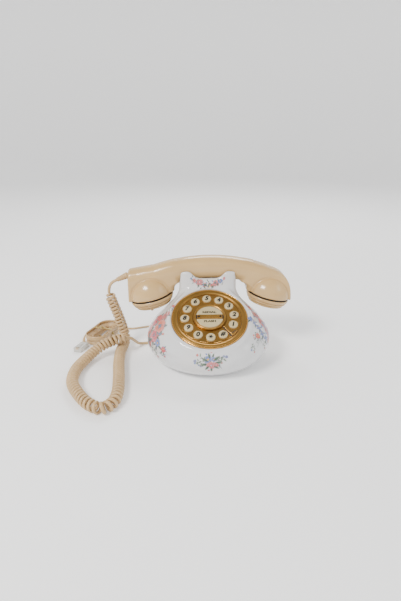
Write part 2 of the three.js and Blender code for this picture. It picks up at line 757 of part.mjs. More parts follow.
function plungerSpring() {
  const wire = 0.5;
  const low = HOOK_BRACKET_Z + BRACKET_THICKNESS + GAP + wire;
  const high = PLUNGER_FLANGE_Z - GAP - wire;
  const turns = 4;
  const radius = STEM_RADIUS + 1.6;
  const points = Array.from({ length: turns * 8 + 1 }, (_, i) => {
    const angle = (2 * Math.PI * i) / 8;
    const z = low + ((high - low) * i) / (turns * 8);
    return [radius * Math.cos(angle), radius * Math.sin(angle), z];
  });
  return swept(curveThrough(points), polygon(wire, 5), turns * 8);
}

// A bridge on two legs that guides the plunger's stem.
function hookBracket() {
  const span = 2 * (NECK_HALF_WIDTH - WALL - 12);
  const depth = 12;
  const foot = CAVITY_FLOOR_Z + GAP;
  const top = HOOK_BRACKET_Z + BRACKET_THICKNESS;
  const bridge = box(span, depth, HOOK_BRACKET_Z, top);
  const legs = [-1, 1].map((side) =>
    box(BRACKET_THICKNESS, depth, foot, top, (side * (span - BRACKET_THICKNESS)) / 2),
  );
  const guide = rod(STEM_RADIUS + SLIDE_GAP, HOOK_BRACKET_Z - 1, top + 1, 16);
  const frame = join(bridge, ...legs);
  return cut(frame, guide);
}

function hookParts() {
  const group = new THREE.Group();
  group.position.y = NECK_Y;
  const switchTop = HOOK_BRACKET_Z - 5 - GAP;
  const lever = box(4, 5, switchTop - 1.5, switchTop);
  const housing = box(16, 8, switchTop - 12, switchTop - 1);
  group.add(
    piece("hook_plunger", plunger(), GREY_PLASTIC),
    piece("hook_spring", plungerSpring(), STEEL),
    piece("hook_bracket", hookBracket(), GREY_PLASTIC),
    piece("hook_switch", join(housing, lever), DARK),
  );
  return group;
}

// ---- handset ------------------------------------------------------------------------------
const THROAT_X = 49; // where the grip turns down into the cups
const THROAT_ROUND = 8;
const EAR_END_X = CUP_X + CUP_RADIUS - 0.5;
const gripTop = (x) => GRIP_TOP_Z - GRIP_TOP_RADIUS + Math.sqrt(GRIP_TOP_RADIUS ** 2 - x ** 2);
const seamZ = (x) => CUP_Z - (Math.abs(x) - CUP_X) * Math.tan(CUP_CANT);

// The handset's upper outline: an arc, running out straight at the mouth end and round at
// the ear end.
function hoodTop(x) {
  const straightFrom = -CUP_X + 5;
  if (x < straightFrom) {
    const share = (straightFrom - x) / (HANDSET_HALF_LENGTH + straightFrom);
    return gripTop(straightFrom) + (MOUTH_END_Z - gripTop(straightFrom)) * share;
  }
  return gripTop(x) - earRounding(x) * (gripTop(EAR_END_X) - CUP_Z);
}

// How far the ear end has rounded off at x, from 0 to 1.
function earRounding(x) {
  const share = Math.max((x - CUP_X) / (EAR_END_X - CUP_X), 0);
  return 1 - Math.sqrt(Math.max(1 - share ** 2.6, 0));
}

// The lower outline: the grip's underside and its rounding down to a throat, then the cups' seam.
function hoodBottom(x, throat) {
  const past = throat - Math.abs(x);
  if (past <= 0) return seamZ(x) - 1;
  const under = gripUnderside(x);
  if (past >= THROAT_ROUND) return under;
  return under - THROAT_ROUND + Math.sqrt(THROAT_ROUND ** 2 - (THROAT_ROUND - past) ** 2);
}

// Where the hood's sections lie: shares of the grip, steps back from the throat as shares of
// its rounding, and shares of the way from the throat to either end.
const GRIP_SHARES = [0.25, 0.53, 0.78];
const THROAT_STEPS = [1.1, 0.66, 0.31, 0.1];
const MOUTH_SHARES = [0.11, 0.29, 0.5, 0.715, 0.874, 1];
const EAR_SHARES = [0.105, 0.284, 0.5, 0.64, 0.77, 0.86, 0.93, 0.973, 1];

function hoodStations(throat, mouthEnd, earEnd) {
  const half = (end, shares) => [
    ...GRIP_SHARES.map((share) => share * (throat - THROAT_STEPS[0] * THROAT_ROUND)),
    ...THROAT_STEPS.map((step) => throat - step * THROAT_ROUND),
    throat + 0.05,
    ...shares.map((share) => throat + share * (end - throat)),
  ];
  const mouthSide = half(mouthEnd, MOUTH_SHARES).map((x) => -x);
  return [...mouthSide.reverse(), 0, ...half(earEnd, EAR_SHARES)];
}

// The handset's grip and hood between the two outlines, drawn in by a wall.
function hood(wall, around) {
  const throat = THROAT_X + wall;
  const stations = hoodStations(throat, HANDSET_HALF_LENGTH - wall, EAR_END_X - wall);
  const ring = (x) => {
    const round = earRounding(x + (x > CUP_X ? wall : 0));
    const bottom = hoodBottom(x, throat) + (Math.abs(x) < throat ? wall : 0);
    const low = bottom + round * Math.max(CUP_Z - 3 - bottom, 0);
    const top = Math.max(hoodTop(x) - wall, low + 1);
    const half = (GRIP_HALF_DEPTH - wall) * (1 - 0.6 * round);
    return { top, middle: (top + low) / 2, low, half };
  };
  return drum(stations, around, ring);
}

// Puts a piece made along -Z under a cup's seam (side is -1 for the mouth, 1 for the ear).
function underCup(geometry, side) {
  return geometry.rotateY(side * CUP_CANT).translate(side * CUP_X, 0, CUP_Z);
}

function handsetBody() {
  const dome = (radius, side, around) =>
    new THREE.SphereGeometry(radius, around, around / 2 + 2)
      .rotateX(Math.PI / 2)
      .rotateY(side * CUP_CANT)
      .translate(side * CUP_X, 0, CUP_Z);
  const inner = CUP_RADIUS - HANDSET_WALL;
  const below = (side) => underCup(box(3 * CUP_RADIUS, 3 * CUP_RADIUS, -60, 0), side);
  const outside = join(hood(0, 16), dome(CUP_RADIUS, -1, 24), dome(CUP_RADIUS, 1, 24));
  const inside = join(hood(HANDSET_WALL, 8), dome(inner, -1, 20), dome(inner, 1, 20));
  const way = RELIEF_DIRECTION;
  const reliefHole = aimed(rod(2.9 + GAP, -12, 8, 12), [RELIEF_ROOT[0], 0, RELIEF_ROOT[2]], way);
  return cut(outside, inside, below(-1), below(1), reliefHole);
}

// A screw-on cap: a ridged skirt with a thread neck that goes up into the cup.
function cap(withLug) {
  const top = -GAP - 0.4;
  const neck = CUP_RADIUS - HANDSET_WALL - CAP_NECK_GAP;
  const ridges = 3;
  const sideDepth = CAP_DEPTH - 3;
  const outline = [[CUP_RADIUS - 0.2, top]];
  for (let i = 0; i < ridges; i++) {
    const share = (i + 1) / ridges;
    const z = top - sideDepth * share;
    const radius = CUP_RADIUS - 0.2 - (CUP_RADIUS - CAP_END_RADIUS - 1.6) * share ** 1.6;
    outline.push([radius + 0.5, z + 1.1], [radius - 0.4, z + 0.3]);
  }
  outline.push([CAP_END_RADIUS, -CAP_DEPTH], [0, -CAP_DEPTH]);
  outline.push([0, -CAP_DEPTH + CAP_WALL], [CAP_END_RADIUS - 1, -CAP_DEPTH + CAP_WALL]);
  outline.push([neck - CAP_WALL, top - 3], [neck - CAP_WALL, 4], [neck, 4], [neck, top]);
  const shell = turned(outline.reverse(), 28);
  const holes = Array.from({ length: 6 }, (_, i) => {
    const angle = (i * Math.PI) / 3;
    return rod(1.1, -CAP_DEPTH - 2, -CAP_DEPTH + CAP_WALL + 1, 8).translate(
      10 * Math.cos(angle),
      10 * Math.sin(angle),
      0,
    );
  });
  const drilled = cut(shell, ...holes);
  if (!withLug) return drilled;
  const lug = rod(1.6, -CAP_DEPTH - LUG_DROP, -CAP_DEPTH + 1, 8).translate(0, -CAP_END_RADIUS + 4, 0);
  return join(drilled, lug);
}

function capsule() {
  const r = CAP_END_RADIUS - 2;
  const low = -CAP_DEPTH + CAP_WALL + GAP;
  const top = low + CAPSULE_HEIGHT;
  return turnedOnAxis([[0, low], [r, low], [r, top - 2], [r - 5, top], [0, top]], 28);
}

function reliefSleeve() {
  const ridges = 4;
  const outline = [[0, -6], [2.9, -6], [2.9, RELIEF_NECK]];
  for (let i = 0; i < ridges; i++) {
    const radius = 4.6 - (1.3 * i) / (ridges - 1);
    const low = RELIEF_NECK + (RELIEF_LENGTH * i) / ridges;
    const high = RELIEF_NECK + (RELIEF_LENGTH * (i + 0.6)) / ridges;
    outline.push([radius, low], [radius, high], [radius - 0.7, high]);
    outline.push([radius - 0.7, RELIEF_NECK + (RELIEF_LENGTH * (i + 1)) / ridges]);
  }
  outline.push([0, RELIEF_NECK + RELIEF_LENGTH]);
  return turnedOnAxis(outline, 10);
}

function handsetParts() {
  const group = new THREE.Group();
  group.position.y = NECK_Y;
  const weightZ = GRIP_TOP_Z - GRIP_HALF_HEIGHT;
  group.add(
    piece("handset_body", handsetBody(), ALMOND),
    piece("mouth_cap", underCup(cap(true), -1), ALMOND),
    piece("ear_cap", underCup(cap(false), 1), ALMOND),
    piece("microphone_capsule", underCup(capsule(), -1), DARK),
    piece("receiver_capsule", underCup(capsule(), 1), DARK),
    piece("handset_weight", box(44, 16, weightZ - 6, weightZ + 6), STEEL),
  );
  const relief = aimed(reliefSleeve(), [RELIEF_ROOT[0], 0, RELIEF_ROOT[2]], RELIEF_DIRECTION);
  group.add(piece("handset_strain_relief", relief, ALMOND));
  return group;
}

// ---- cords --------------------------------------------------------------------------------

// A stopper in the porcelain that a cord comes out of.
function socketBush(angle) {
  const out = [Math.cos(angle), Math.sin(angle), 0];
  const skin = skinRadius(SOCKET_Z, angle);
  const nose = [[BUSH_RADIUS, 3.4], [BUSH_RADIUS - 0.6, 4.2], [0, 4.2]];
  const bush = turnedOnAxis([[0, -9], [BUSH_RADIUS, -9], ...nose], 16);
  return aimed(bush, [out[0] * skin, out[1] * skin, SOCKET_Z], out);
}

function flatSection(width, thickness) {
  const x = thickness / 2;
  const y = width / 2;
  const corner = thickness * 0.3;
  const outline = [
    [x, -y + corner],
    [x, y - corner],
    [x - corner, y],
    [-x + corner, y],
    [-x, y - corner],
    [-x, -y + corner],
    [-x + corner, -y],
    [x - corner, -y],
  ];
  return new THREE.Shape(outline.map(([px, py]) => new THREE.Vector2(px, py)));
}

// A stadium outline along X.
function stadium(length, width) {
  const r = width / 2;
  const shape = new THREE.Shape();
  shape.absarc(length / 2 - r, 0, r, -Math.PI / 2, Math.PI / 2);
  shape.absarc(-length / 2 + r, 0, r, Math.PI / 2, (3 * Math.PI) / 2);
  shape.closePath();
  return shape;
}

function tieBand() {
  const low = GAP / 2;
  const hankLow = low + TIE_THICKNESS + GAP;
  const high = hankLow + HANK_HEIGHT + GAP + TIE_THICKNESS;
  const outside = box(TIE_WIDTH, HANK_WIDTH + 2 * (GAP + TIE_THICKNESS), low, high);
  const room = box(TIE_WIDTH * 2, HANK_WIDTH + 2 * GAP, low + TIE_THICKNESS, high - TIE_THICKNESS);
  return cut(outside, room);
}

function modularPlug() {
  const height = 6.6;
  const shell = box(21, 11.6, 0.2, 0.2 + height);
  const step = box(12, 8.4, 0.2 + height - 1, 0.2 + height + 1, -2);
  const entry = box(4, 6, 1.8, 5.2, 10.5);
  return cut(join(shell, step), entry);
}

function cordParts() {
  const group = new THREE.Group();
  const lead = polygon(LEAD_DIAMETER / 2, 8);
  const curl = polygon(CURL_DIAMETER / 2, 10);
  const line = flatSection(LINE_WIDTH, LINE_THICKNESS);
  group.add(
    piece("cord_handset_lead", swept(curveThrough(HANDSET_LEAD_POINTS), lead, 6), ALMOND),
    piece("curly_cord", swept(curveThrough(CURL_POINTS), curl, 36), ALMOND),
    piece("cord_base_lead", swept(curveThrough(BASE_LEAD_POINTS), lead, 12), ALMOND),
    piece("line_cord", swept(curveThrough(LINE_POINTS), line, 18), ALMOND),
  );
  const hankGroup = new THREE.Group();
  hankGroup.position.set(...HANK_CENTER, 0);
  hankGroup.rotation.z = HANK_ANGLE;
  const hankLow = GAP / 2 + TIE_THICKNESS + GAP;
  const hank = slab(stadium(HANK_LENGTH, HANK_WIDTH), hankLow, hankLow + HANK_HEIGHT, 8);
  const plug = piece("line_plug", modularPlug(), CLEAR_PLASTIC);
  plug.position.set(-HANK_LENGTH / 2 - 13, 9.4, 0);
  hankGroup.add(
    piece("line_cord_hank", hank, ALMOND),
    piece("hank_tie", tieBand(), TIE_YELLOW),
    plug,
  );
  group.add(hankGroup);
  return group;
}

// ---- the telephone ------------------------------------------------------------------------
const base = new THREE.Group();
base.position.x = BODY_X;
base.add(
  piece("porcelain_body", porcelainBody(), PORCELAIN),
  baseParts(),
  dialParts(),
  hookParts(),
  piece("handset_cord_bush", socketBush(HANDSET_SOCKET_ANGLE), ALMOND),
  piece("line_cord_bush", socketBush(LINE_SOCKET_ANGLE), ALMOND),
);

const telephone = new THREE.Group();
telephone.add(base, handsetParts(), cordParts());

export default telephone;
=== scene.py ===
"""A porcelain cradle telephone with a push-key dial: the looks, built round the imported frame.

Lengths in the script are millimetres in the row frame, and become metres as each mesh is made.
Those of the stage, the lights and the noise textures are in metres from the start.
"""
import json
import math
import random

import bpy
import numpy as np
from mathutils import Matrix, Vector


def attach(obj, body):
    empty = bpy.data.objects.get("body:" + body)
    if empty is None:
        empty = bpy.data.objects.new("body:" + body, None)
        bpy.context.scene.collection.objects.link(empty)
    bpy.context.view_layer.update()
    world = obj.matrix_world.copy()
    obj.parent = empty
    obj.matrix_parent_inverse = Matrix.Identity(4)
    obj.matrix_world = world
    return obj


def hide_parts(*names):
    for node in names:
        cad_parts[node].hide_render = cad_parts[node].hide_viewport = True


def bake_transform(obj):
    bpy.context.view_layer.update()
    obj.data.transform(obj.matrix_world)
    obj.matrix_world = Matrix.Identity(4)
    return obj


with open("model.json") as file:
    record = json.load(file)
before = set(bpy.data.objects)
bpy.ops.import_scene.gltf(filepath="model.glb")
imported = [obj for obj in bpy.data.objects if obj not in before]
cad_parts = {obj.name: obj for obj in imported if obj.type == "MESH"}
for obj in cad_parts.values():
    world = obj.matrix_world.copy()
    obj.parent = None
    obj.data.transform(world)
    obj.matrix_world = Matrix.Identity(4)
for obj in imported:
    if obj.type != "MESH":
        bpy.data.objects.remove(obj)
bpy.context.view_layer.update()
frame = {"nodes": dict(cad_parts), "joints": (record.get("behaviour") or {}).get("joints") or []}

MM = 0.001
ROOT = "root"
HANDSET = "handset"


# ---- the frame ----------------------------------------------------------------------------
def node_points(node):
    """A CAD node's vertices, in millimetres."""
    return np.array([v.co for v in frame["nodes"][node].data.vertices]) / MM


def span(node):
    points = node_points(node)
    return points.min(0), points.max(0)


def middle(node):
    low, high = span(node)
    return (low + high) / 2


BODY_X = middle("base_plate")[0]
NECK_Y = middle("hook_plunger")[1]
PRESS = next(j["axis"] for j in frame["joints"] if j["name"] == "key_5_press")
DIAL_OUT = -np.array(PRESS) / np.linalg.norm(PRESS)
DIAL_RIGHT = np.array([1.0, 0.0, 0.0])
DIAL_UP = np.cross(DIAL_OUT, DIAL_RIGHT)
DIAL_AXES = np.array([DIAL_RIGHT, DIAL_UP, DIAL_OUT])
BEZEL_HEIGHT = 3.6


def dial_middle(node):
    """The middle of a node on the dial, and its highest point, in the dial's directions."""
    local = node_points(node) @ DIAL_AXES.T
    low, high = local.min(0), local.max(0)
    return (low[0] + high[0]) / 2, (low[1] + high[1]) / 2, high[2]


def dial_origin():
    right, up, top = dial_middle("dial_bezel")
    return DIAL_RIGHT * right + DIAL_UP * up + DIAL_OUT * (top - BEZEL_HEIGHT)


DIAL_ORIGIN = dial_origin()


def on_dial(points):
    """Points of the dial's own frame, +Z out of its face, as points of the row frame."""
    return np.asarray(points, float) @ DIAL_AXES + DIAL_ORIGIN


# ---- camera -------------------------------------------------------------------------------
CAMERA_PLACE = (-36.1, -592.5, 299.7)
CAMERA_HEADING = math.radians(2.08)
CAMERA_DIP = math.radians(20.27)
LENS_MM = 28.72


def make_camera():
    data = bpy.data.cameras.new("camera")
    data.lens = LENS_MM
    data.sensor_width = 36
    data.clip_start, data.clip_end = 0.02, 20
    camera = bpy.data.objects.new("camera", data)
    camera.location = Vector(CAMERA_PLACE) * MM
    level = math.cos(CAMERA_DIP)
    east, north = math.sin(CAMERA_HEADING) * level, math.cos(CAMERA_HEADING) * level
    ahead = Vector((east, north, -math.sin(CAMERA_DIP)))
    camera.rotation_euler = ahead.to_track_quat("-Z", "Y").to_euler()
    bpy.context.scene.collection.objects.link(camera)
    bpy.context.scene.camera = camera


# ---- materials ----------------------------------------------------------------------------
def new_material(name, color, roughness, metallic=0.0):
    material = bpy.data.materials.new(name)
    material.use_nodes = True
    shader = material.node_tree.nodes["Principled BSDF"]
    shader.inputs["Base Color"].default_value = (*color, 1)
    shader.inputs["Roughness"].default_value = roughness
    shader.inputs["Metallic"].default_value = metallic
    return material, material.node_tree, shader


def noise(tree, scale, detail=3.0, stretch=None):
    """A noise texture in object space, its scale in waves to a metre."""
    coordinates = tree.nodes.new("ShaderNodeTexCoord")
    texture = tree.nodes.new("ShaderNodeTexNoise")
    texture.inputs["Scale"].default_value = scale
    texture.inputs["Detail"].default_value = detail
    source = coordinates.outputs["Object"]
    if stretch:
        mapping = tree.nodes.new("ShaderNodeMapping")
        mapping.inputs["Scale"].default_value = stretch
        tree.links.new(source, mapping.inputs["Vector"])
        source = mapping.outputs["Vector"]
    tree.links.new(source, texture.inputs["Vector"])
    return texture.outputs["Fac"]


def ramp(tree, factor, stops):
    node = tree.nodes.new("ShaderNodeValToRGB")
    node.color_ramp.elements[0].position = stops[0][0]
    node.color_ramp.elements[0].color = (*stops[0][1], 1)
    node.color_ramp.elements[1].position = stops[-1][0]
    node.color_ramp.elements[1].color = (*stops[-1][1], 1)
    for place, color in stops[1:-1]:
        element = node.color_ramp.elements.new(place)
        element.color = (*color, 1)
    tree.links.new(factor, node.inputs["Fac"])
    return node.outputs["Color"]


def spread(tree, factor, low, high):
    node = tree.nodes.new("ShaderNodeMapRange")
    node.inputs["To Min"].default_value = low
    node.inputs["To Max"].default_value = high
    tree.links.new(factor, node.inputs["Value"])
    return node.outputs["Result"]


def tint(tree, shader, factor, stops):
    tree.links.new(ramp(tree, factor, stops), shader.inputs["Base Color"])


def vary_gloss(tree, shader, factor, low, high):
    tree.links.new(spread(tree, factor, low, high), shader.inputs["Roughness"])


def coat(shader, weight, roughness):
    shader.inputs["Coat Weight"].default_value = weight
    shader.inputs["Coat Roughness"].default_value = roughness


def bump(tree, shader, height, distance, strength=1.0):
    node = tree.nodes.new("ShaderNodeBump")
    node.inputs["Distance"].default_value = distance
    node.inputs["Strength"].default_value = strength
    tree.links.new(height, node.inputs["Height"])
    tree.links.new(node.outputs["Normal"], shader.inputs["Normal"])


def shade(color, factor):
    return tuple(min(c * factor, 1) for c in color)


def plastic(name, color, roughness, grain=0.00002, clouds=0.05, lacquer=0.0):
    """Moulded plastic: faint clouds of tone, a fine moulded grain, and uneven gloss."""
    material, tree, shader = new_material(name, color, roughness)
    tones = [(0.3, shade(color, 1 - clouds)), (0.7, shade(color, 1 + clouds))]
    tint(tree, shader, noise(tree, 35), tones)
    vary_gloss(tree, shader, noise(tree, 120), roughness * 0.8, roughness * 1.25)
    coat(shader, lacquer, 0.12)
    bump(tree, shader, noise(tree, 2500, 2), grain, 0.35)
    return material


def porcelain_glaze():
    """White glaze over a cream body: a faint warm cast, pinholes, and a slow waviness."""
    color = (0.64, 0.64, 0.645)
    material, tree, shader = new_material("porcelain_glaze", color, 0.09)
    tones = [(0.3, (0.64, 0.615, 0.595)), (0.55, color), (0.8, (0.65, 0.655, 0.67))]
    tint(tree, shader, noise(tree, 14, 4), tones)
    vary_gloss(tree, shader, noise(tree, 60, 4), 0.05, 0.16)
    coat(shader, 0.6, 0.04)
    bump(tree, shader, noise(tree, 90, 2), 0.00012, 0.25)
    return material


def painted_decal():
    """Overglaze paint: the colour is on the petals' own corners, under the same gloss."""
    material, tree, shader = new_material("overglaze_paint", (0.8, 0.4, 0.4), 0.16)
    attribute = tree.nodes.new("ShaderNodeVertexColor")
    attribute.layer_name = "paint"
    speckle = tree.nodes.new("ShaderNodeMix")
    speckle.data_type = "RGBA"
    speckle.blend_type = "MULTIPLY"
    speckle.inputs["Factor"].default_value = 0.5
    tone = ramp(tree, noise(tree, 700, 3), [(0.35, (0.82, 0.8, 0.82)), (0.6, (1, 1, 1))])
    tree.links.new(attribute.outputs["Color"], speckle.inputs["A"])
    tree.links.new(tone, speckle.inputs["B"])
    tree.links.new(speckle.outputs["Result"], shader.inputs["Base Color"])
    coat(shader, 0.25, 0.05)
    return material


def gold(name, roughness, dark=1.0):
    """Satin gold plating with fine brush marks; dark scales its colour, above 1 for painted highlight
    and below 1 for painted shade.
    """
    color = shade((0.43, 0.23, 0.058), dark)
    material, tree, shader = new_material(name, color, roughness, 1.0)
    tones = [(0.25, shade(color, 0.78)), (0.5, color), (0.75, shade(color, 1.12))]
    tint(tree, shader, noise(tree, 45, 5), tones)
    brushed = noise(tree, 900, 2, (1.0, 0.06, 0.06))
    vary_gloss(tree, shader, brushed, roughness * 0.88, roughness * 1.15)
    bump(tree, shader, brushed, 0.00001, 0.2)
    return material


def metal(name, color, roughness):
    material, tree, shader = new_material(name, color, roughness, 1.0)
    tint(tree, shader, noise(tree, 150, 4), [(0.3, shade(color, 0.75)), (0.7, shade(color, 1.1))])
    vary_gloss(tree, shader, noise(tree, 600), roughness * 0.8, roughness * 1.3)
    bump(tree, shader, noise(tree, 1800, 2), 0.00002, 0.4)
    return material


def circuit_board():
    """Green solder mask with paler copper runs under it."""
    color = (0.03, 0.16, 0.07)
    material, tree, shader = new_material("solder_mask", color, 0.35)
    coordinates = tree.nodes.new("ShaderNodeTexCoord")
    runs = tree.nodes.new("ShaderNodeTexBrick")
    runs.inputs["Scale"].default_value = 160
    runs.inputs["Color1"].default_value = (*color, 1)
    runs.inputs["Color2"].default_value = (0.035, 0.19, 0.08, 1)
    runs.inputs["Mortar"].default_value = (0.10, 0.34, 0.14, 1)
    tree.links.new(coordinates.outputs["Object"], runs.inputs["Vector"])
    tree.links.new(runs.outputs["Color"], shader.inputs["Base Color"])
    bump(tree, shader, runs.outputs["Fac"], 0.0001, 0.3)
    return material


def clear_plastic():
    material, tree, shader = new_material("milky_polycarbonate", (0.86, 0.84, 0.78), 0.15)
    shader.inputs["Transmission Weight"].default_value = 0.45
    shader.inputs["IOR"].default_value = 1.5
    vary_gloss(tree, shader, noise(tree, 400), 0.1, 0.28)
    bump(tree, shader, noise(tree, 900), 0.00005, 0.2)
    return material


ALMOND = (0.55, 0.35, 0.14)
CORD_ALMOND = (0.52, 0.345, 0.165)
CREAM = (0.50, 0.40, 0.21)

GLAZE = porcelain_glaze()
PAINT = painted_decal()
GOLD = gold("satin_gold", 0.3)
# A lighter copy of the gold: painted highlight on the dial's rims, collars, bar and finger stop, and
# the plug's contacts.
HIGHLIGHT_GOLD = gold("highlight_gold", 0.2, 1.45)
# A darker, duller copy of the gold: painted shade in the dial's grooves.
SHADE_GOLD = gold("painted_shade_gold", 0.5, 0.28)
ALMOND_PLASTIC = plastic("almond_plastic", ALMOND, 0.2, lacquer=0.35)
# A near-black plastic used as painted shade: in the caps' seam grooves and sound holes, and under the
# finger stop.
PAINTED_SHADE = plastic("seam_shadow", (0.05, 0.037, 0.026), 0.5)
CORD_VINYL = plastic("cord_vinyl", CORD_ALMOND, 0.34, clouds=0.08)
KEY_PLASTIC = plastic("cream_key", CREAM, 0.25, lacquer=0.2)
# Black for the printed figures and letters, and as painted shade in the screw slots and at the centre
# bar's ends.
INK_AND_SHADE = plastic("black_ink_and_shade", (0.006, 0.005, 0.005), 0.7)
BLACK_PLASTIC = plastic("black_plastic", (0.022, 0.021, 0.02), 0.5)
GREY_PLASTIC = plastic("grey_plastic", (0.24, 0.235, 0.225), 0.55, 0.00005)
RUBBER = plastic("rubber", (0.02, 0.02, 0.02), 0.8, 0.00008)
DARK_STEEL = metal("blackened_steel", (0.03, 0.022, 0.016), 0.45)
STEEL = metal("zinc_steel", (0.6, 0.6, 0.62), 0.33)
BOARD = circuit_board()
CLEAR = clear_plastic()
TIE = plastic("yellow_tie", (0.42, 0.29, 0.07), 0.45)


# ---- mesh helpers -------------------------------------------------------------------------
def smooth_shaded(mesh, sharp_angle):
    mesh.polygons.foreach_set("use_smooth", np.ones(len(mesh.polygons), bool))
    if sharp_angle < 180:
        mesh.set_sharp_from_angle(angle=math.radians(sharp_angle))


def make_piece(name, points, faces, materials, body=ROOT, nodes=(), kinds=None, sharp=40):
    """A mesh piece from points in millimetres, riding a body and standing for CAD nodes."""
    mesh = bpy.data.meshes.new(name)
    mesh.from_pydata((np.asarray(points, float) * MM).tolist(), [], [list(f) for f in faces])
    for material in materials:
        mesh.materials.append(material)
    if kinds is not None:
        mesh.polygons.foreach_set("material_index", np.asarray(kinds, np.int32))
    mesh.validate()
    mesh.update()
    smooth_shaded(mesh, sharp)
    piece = bpy.data.objects.new(name, mesh)
    bpy.context.scene.collection.objects.link(piece)
    if body:
        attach(piece, body)
    if nodes:
        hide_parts(*nodes)
    return piece


class Shape:
    """Points and faces that grow part by part, each face with the number of its material."""

    def __init__(self):
        self.points = np.zeros((0, 3))
        self.faces = []
        self.kinds = []

    def add(self, points, faces, kind=0):
        start = len(self.points)
        self.points = np.vstack([self.points, np.asarray(points, float)])
        self.faces += [[i + start for i in face] for face in faces]
        self.kinds += [kind] * len(faces)
        return self

    def moved(self, move):
        self.points = move(self.points)
        return self


def shape_piece(shape, name, materials, node, body=ROOT, sharp=40):
    """A piece made of a shape, standing for one CAD node."""
    return make_piece(
        name, shape.points, shape.faces, materials, body, (node,), shape.kinds, sharp
    )


def lathe(shape, outline, sides=64, kinds=None, closed=True):
    """Adds an outline of (radius, z) points, anticlockwise, turned about Z.

    A point at radius 0 becomes one point. kinds gives each outline edge's material."""
    angle = np.linspace(0, 2 * math.pi, sides, endpoint=False)
    points, rings = [], []
    for radius, z in outline:
        if radius < 1e-6:
            rings.append([len(points)] * sides)
            points.append([0, 0, z])
            continue
        rings.append(list(range(len(points), len(points) + sides)))
        points += [[radius * math.cos(a), radius * math.sin(a), z] for a in angle]
    count = len(outline) if closed else len(outline) - 1
    faces, face_kinds = [], []
    for i in range(count):
        low, high = rings[i], rings[(i + 1) % len(outline)]
        for j in range(sides):
            k = (j + 1) % sides
            corners = [low[j], low[k], high[k], high[j]]
            face = [c for n, c in enumerate(corners) if c not in corners[:n]]
            if len(face) > 2:
                faces.append(face)
                face_kinds.append(kinds[i] if kinds else 0)
    start = len(shape.points)
    shape.points = np.vstack([shape.points, np.array(points, float)])
    shape.faces += [[i + start for i in face] for face in faces]
    shape.kinds += face_kinds
    return shape


def rounded(outline, radius, steps=3, keep=()):
    """The outline with each corner, but for those kept, cut to a short arc."""
    result = []
    count = len(outline)
    for i, here in enumerate(outline):
        here = np.array(here, float)
        before = np.array(outline[i - 1], float)
        after = np.array(outline[(i + 1) % count], float)
        back, ahead = before - here, after - here
        room = min(np.linalg.norm(back), np.linalg.norm(ahead)) * 0.45
        if i in keep or room < 1e-6 or here[0] < 1e-6:
            result.append(tuple(here))
            continue
        reach = min(radius, room)
        start = here + back / np.linalg.norm(back) * reach
        end = here + ahead / np.linalg.norm(ahead) * reach
        for s in range(steps + 1):
            t = s / steps
            result.append(tuple((1 - t) ** 2 * start + 2 * t * (1 - t) * here + t * t * end))
    return result


def prism(shape, outline, low, high, kind=0, top_inset=0.0):
    """Adds a flat outline made thick, its upper edge drawn in by top_inset as a bevel."""
    flat = np.asarray(outline, float)
    count = len(flat)
    rings = [(flat, low)]
    if top_inset:
        ahead = np.roll(flat, -1, 0) - flat
        behind = flat - np.roll(flat, 1, 0)
        side = ahead / np.linalg.norm(ahead, axis=1)[:, None]
        side = side + behind / np.linalg.norm(behind, axis=1)[:, None]
        inward = np.stack([-side[:, 1], side[:, 0]], 1)
        inward /= np.linalg.norm(inward, axis=1)[:, None]
        rings.append((flat, high - top_inset))
        rings.append((flat + inward * top_inset * 0.35, high - top_inset * 0.35))
        rings.append((flat + inward * top_inset, high))
    else:
        rings.append((flat, high))
    points = np.vstack([np.c_[ring, np.full(count, z)] for ring, z in rings])
    faces = [list(range(count))[::-1]]
    for r in range(len(rings) - 1):
        for i in range(count):
            j = (i + 1) % count
            a, b = r * count, (r + 1) * count
            faces.append([a + i, a + j, b + j, b + i])
    last = (len(rings) - 1) * count
    faces.append([last + i for i in range(count)])
    return shape.add(points, faces, kind)


# ---- implicit surfaces --------------------------------------------------------------------
def smooth_min(a, b, softness):
    share = np.maximum(softness - np.abs(a - b), 0) / softness
    return np.minimum(a, b) - share * share * softness / 4


def smooth_max(a, b, softness):
    return -smooth_min(-a, -b, softness)


def super_reach(across, up, power):
    """How far out a point is on a superellipse, 1 at its edge, from its two shares."""
    return (across**power + up**power) ** (1 / power)


def slopes(field, points, reach=0.05):
    steps = np.eye(3) * reach
    sides = [field(points + step) - field(points - step) for step in steps]
    return np.stack(sides, 1) / (2 * reach)


def settled(field, points, rounds=4, limit=1.0):
    """The points moved onto the surface where the field is zero."""
    for _ in range(rounds):
        slope = slopes(field, points)
        size = np.maximum((slope**2).sum(1), 0.05)
        step = slope * (field(points) / size)[:, None]
        length = np.linalg.norm(step, axis=1)
        step *= np.minimum(1, limit / np.maximum(length, 1e-9))[:, None]
        points = points - step
    return points


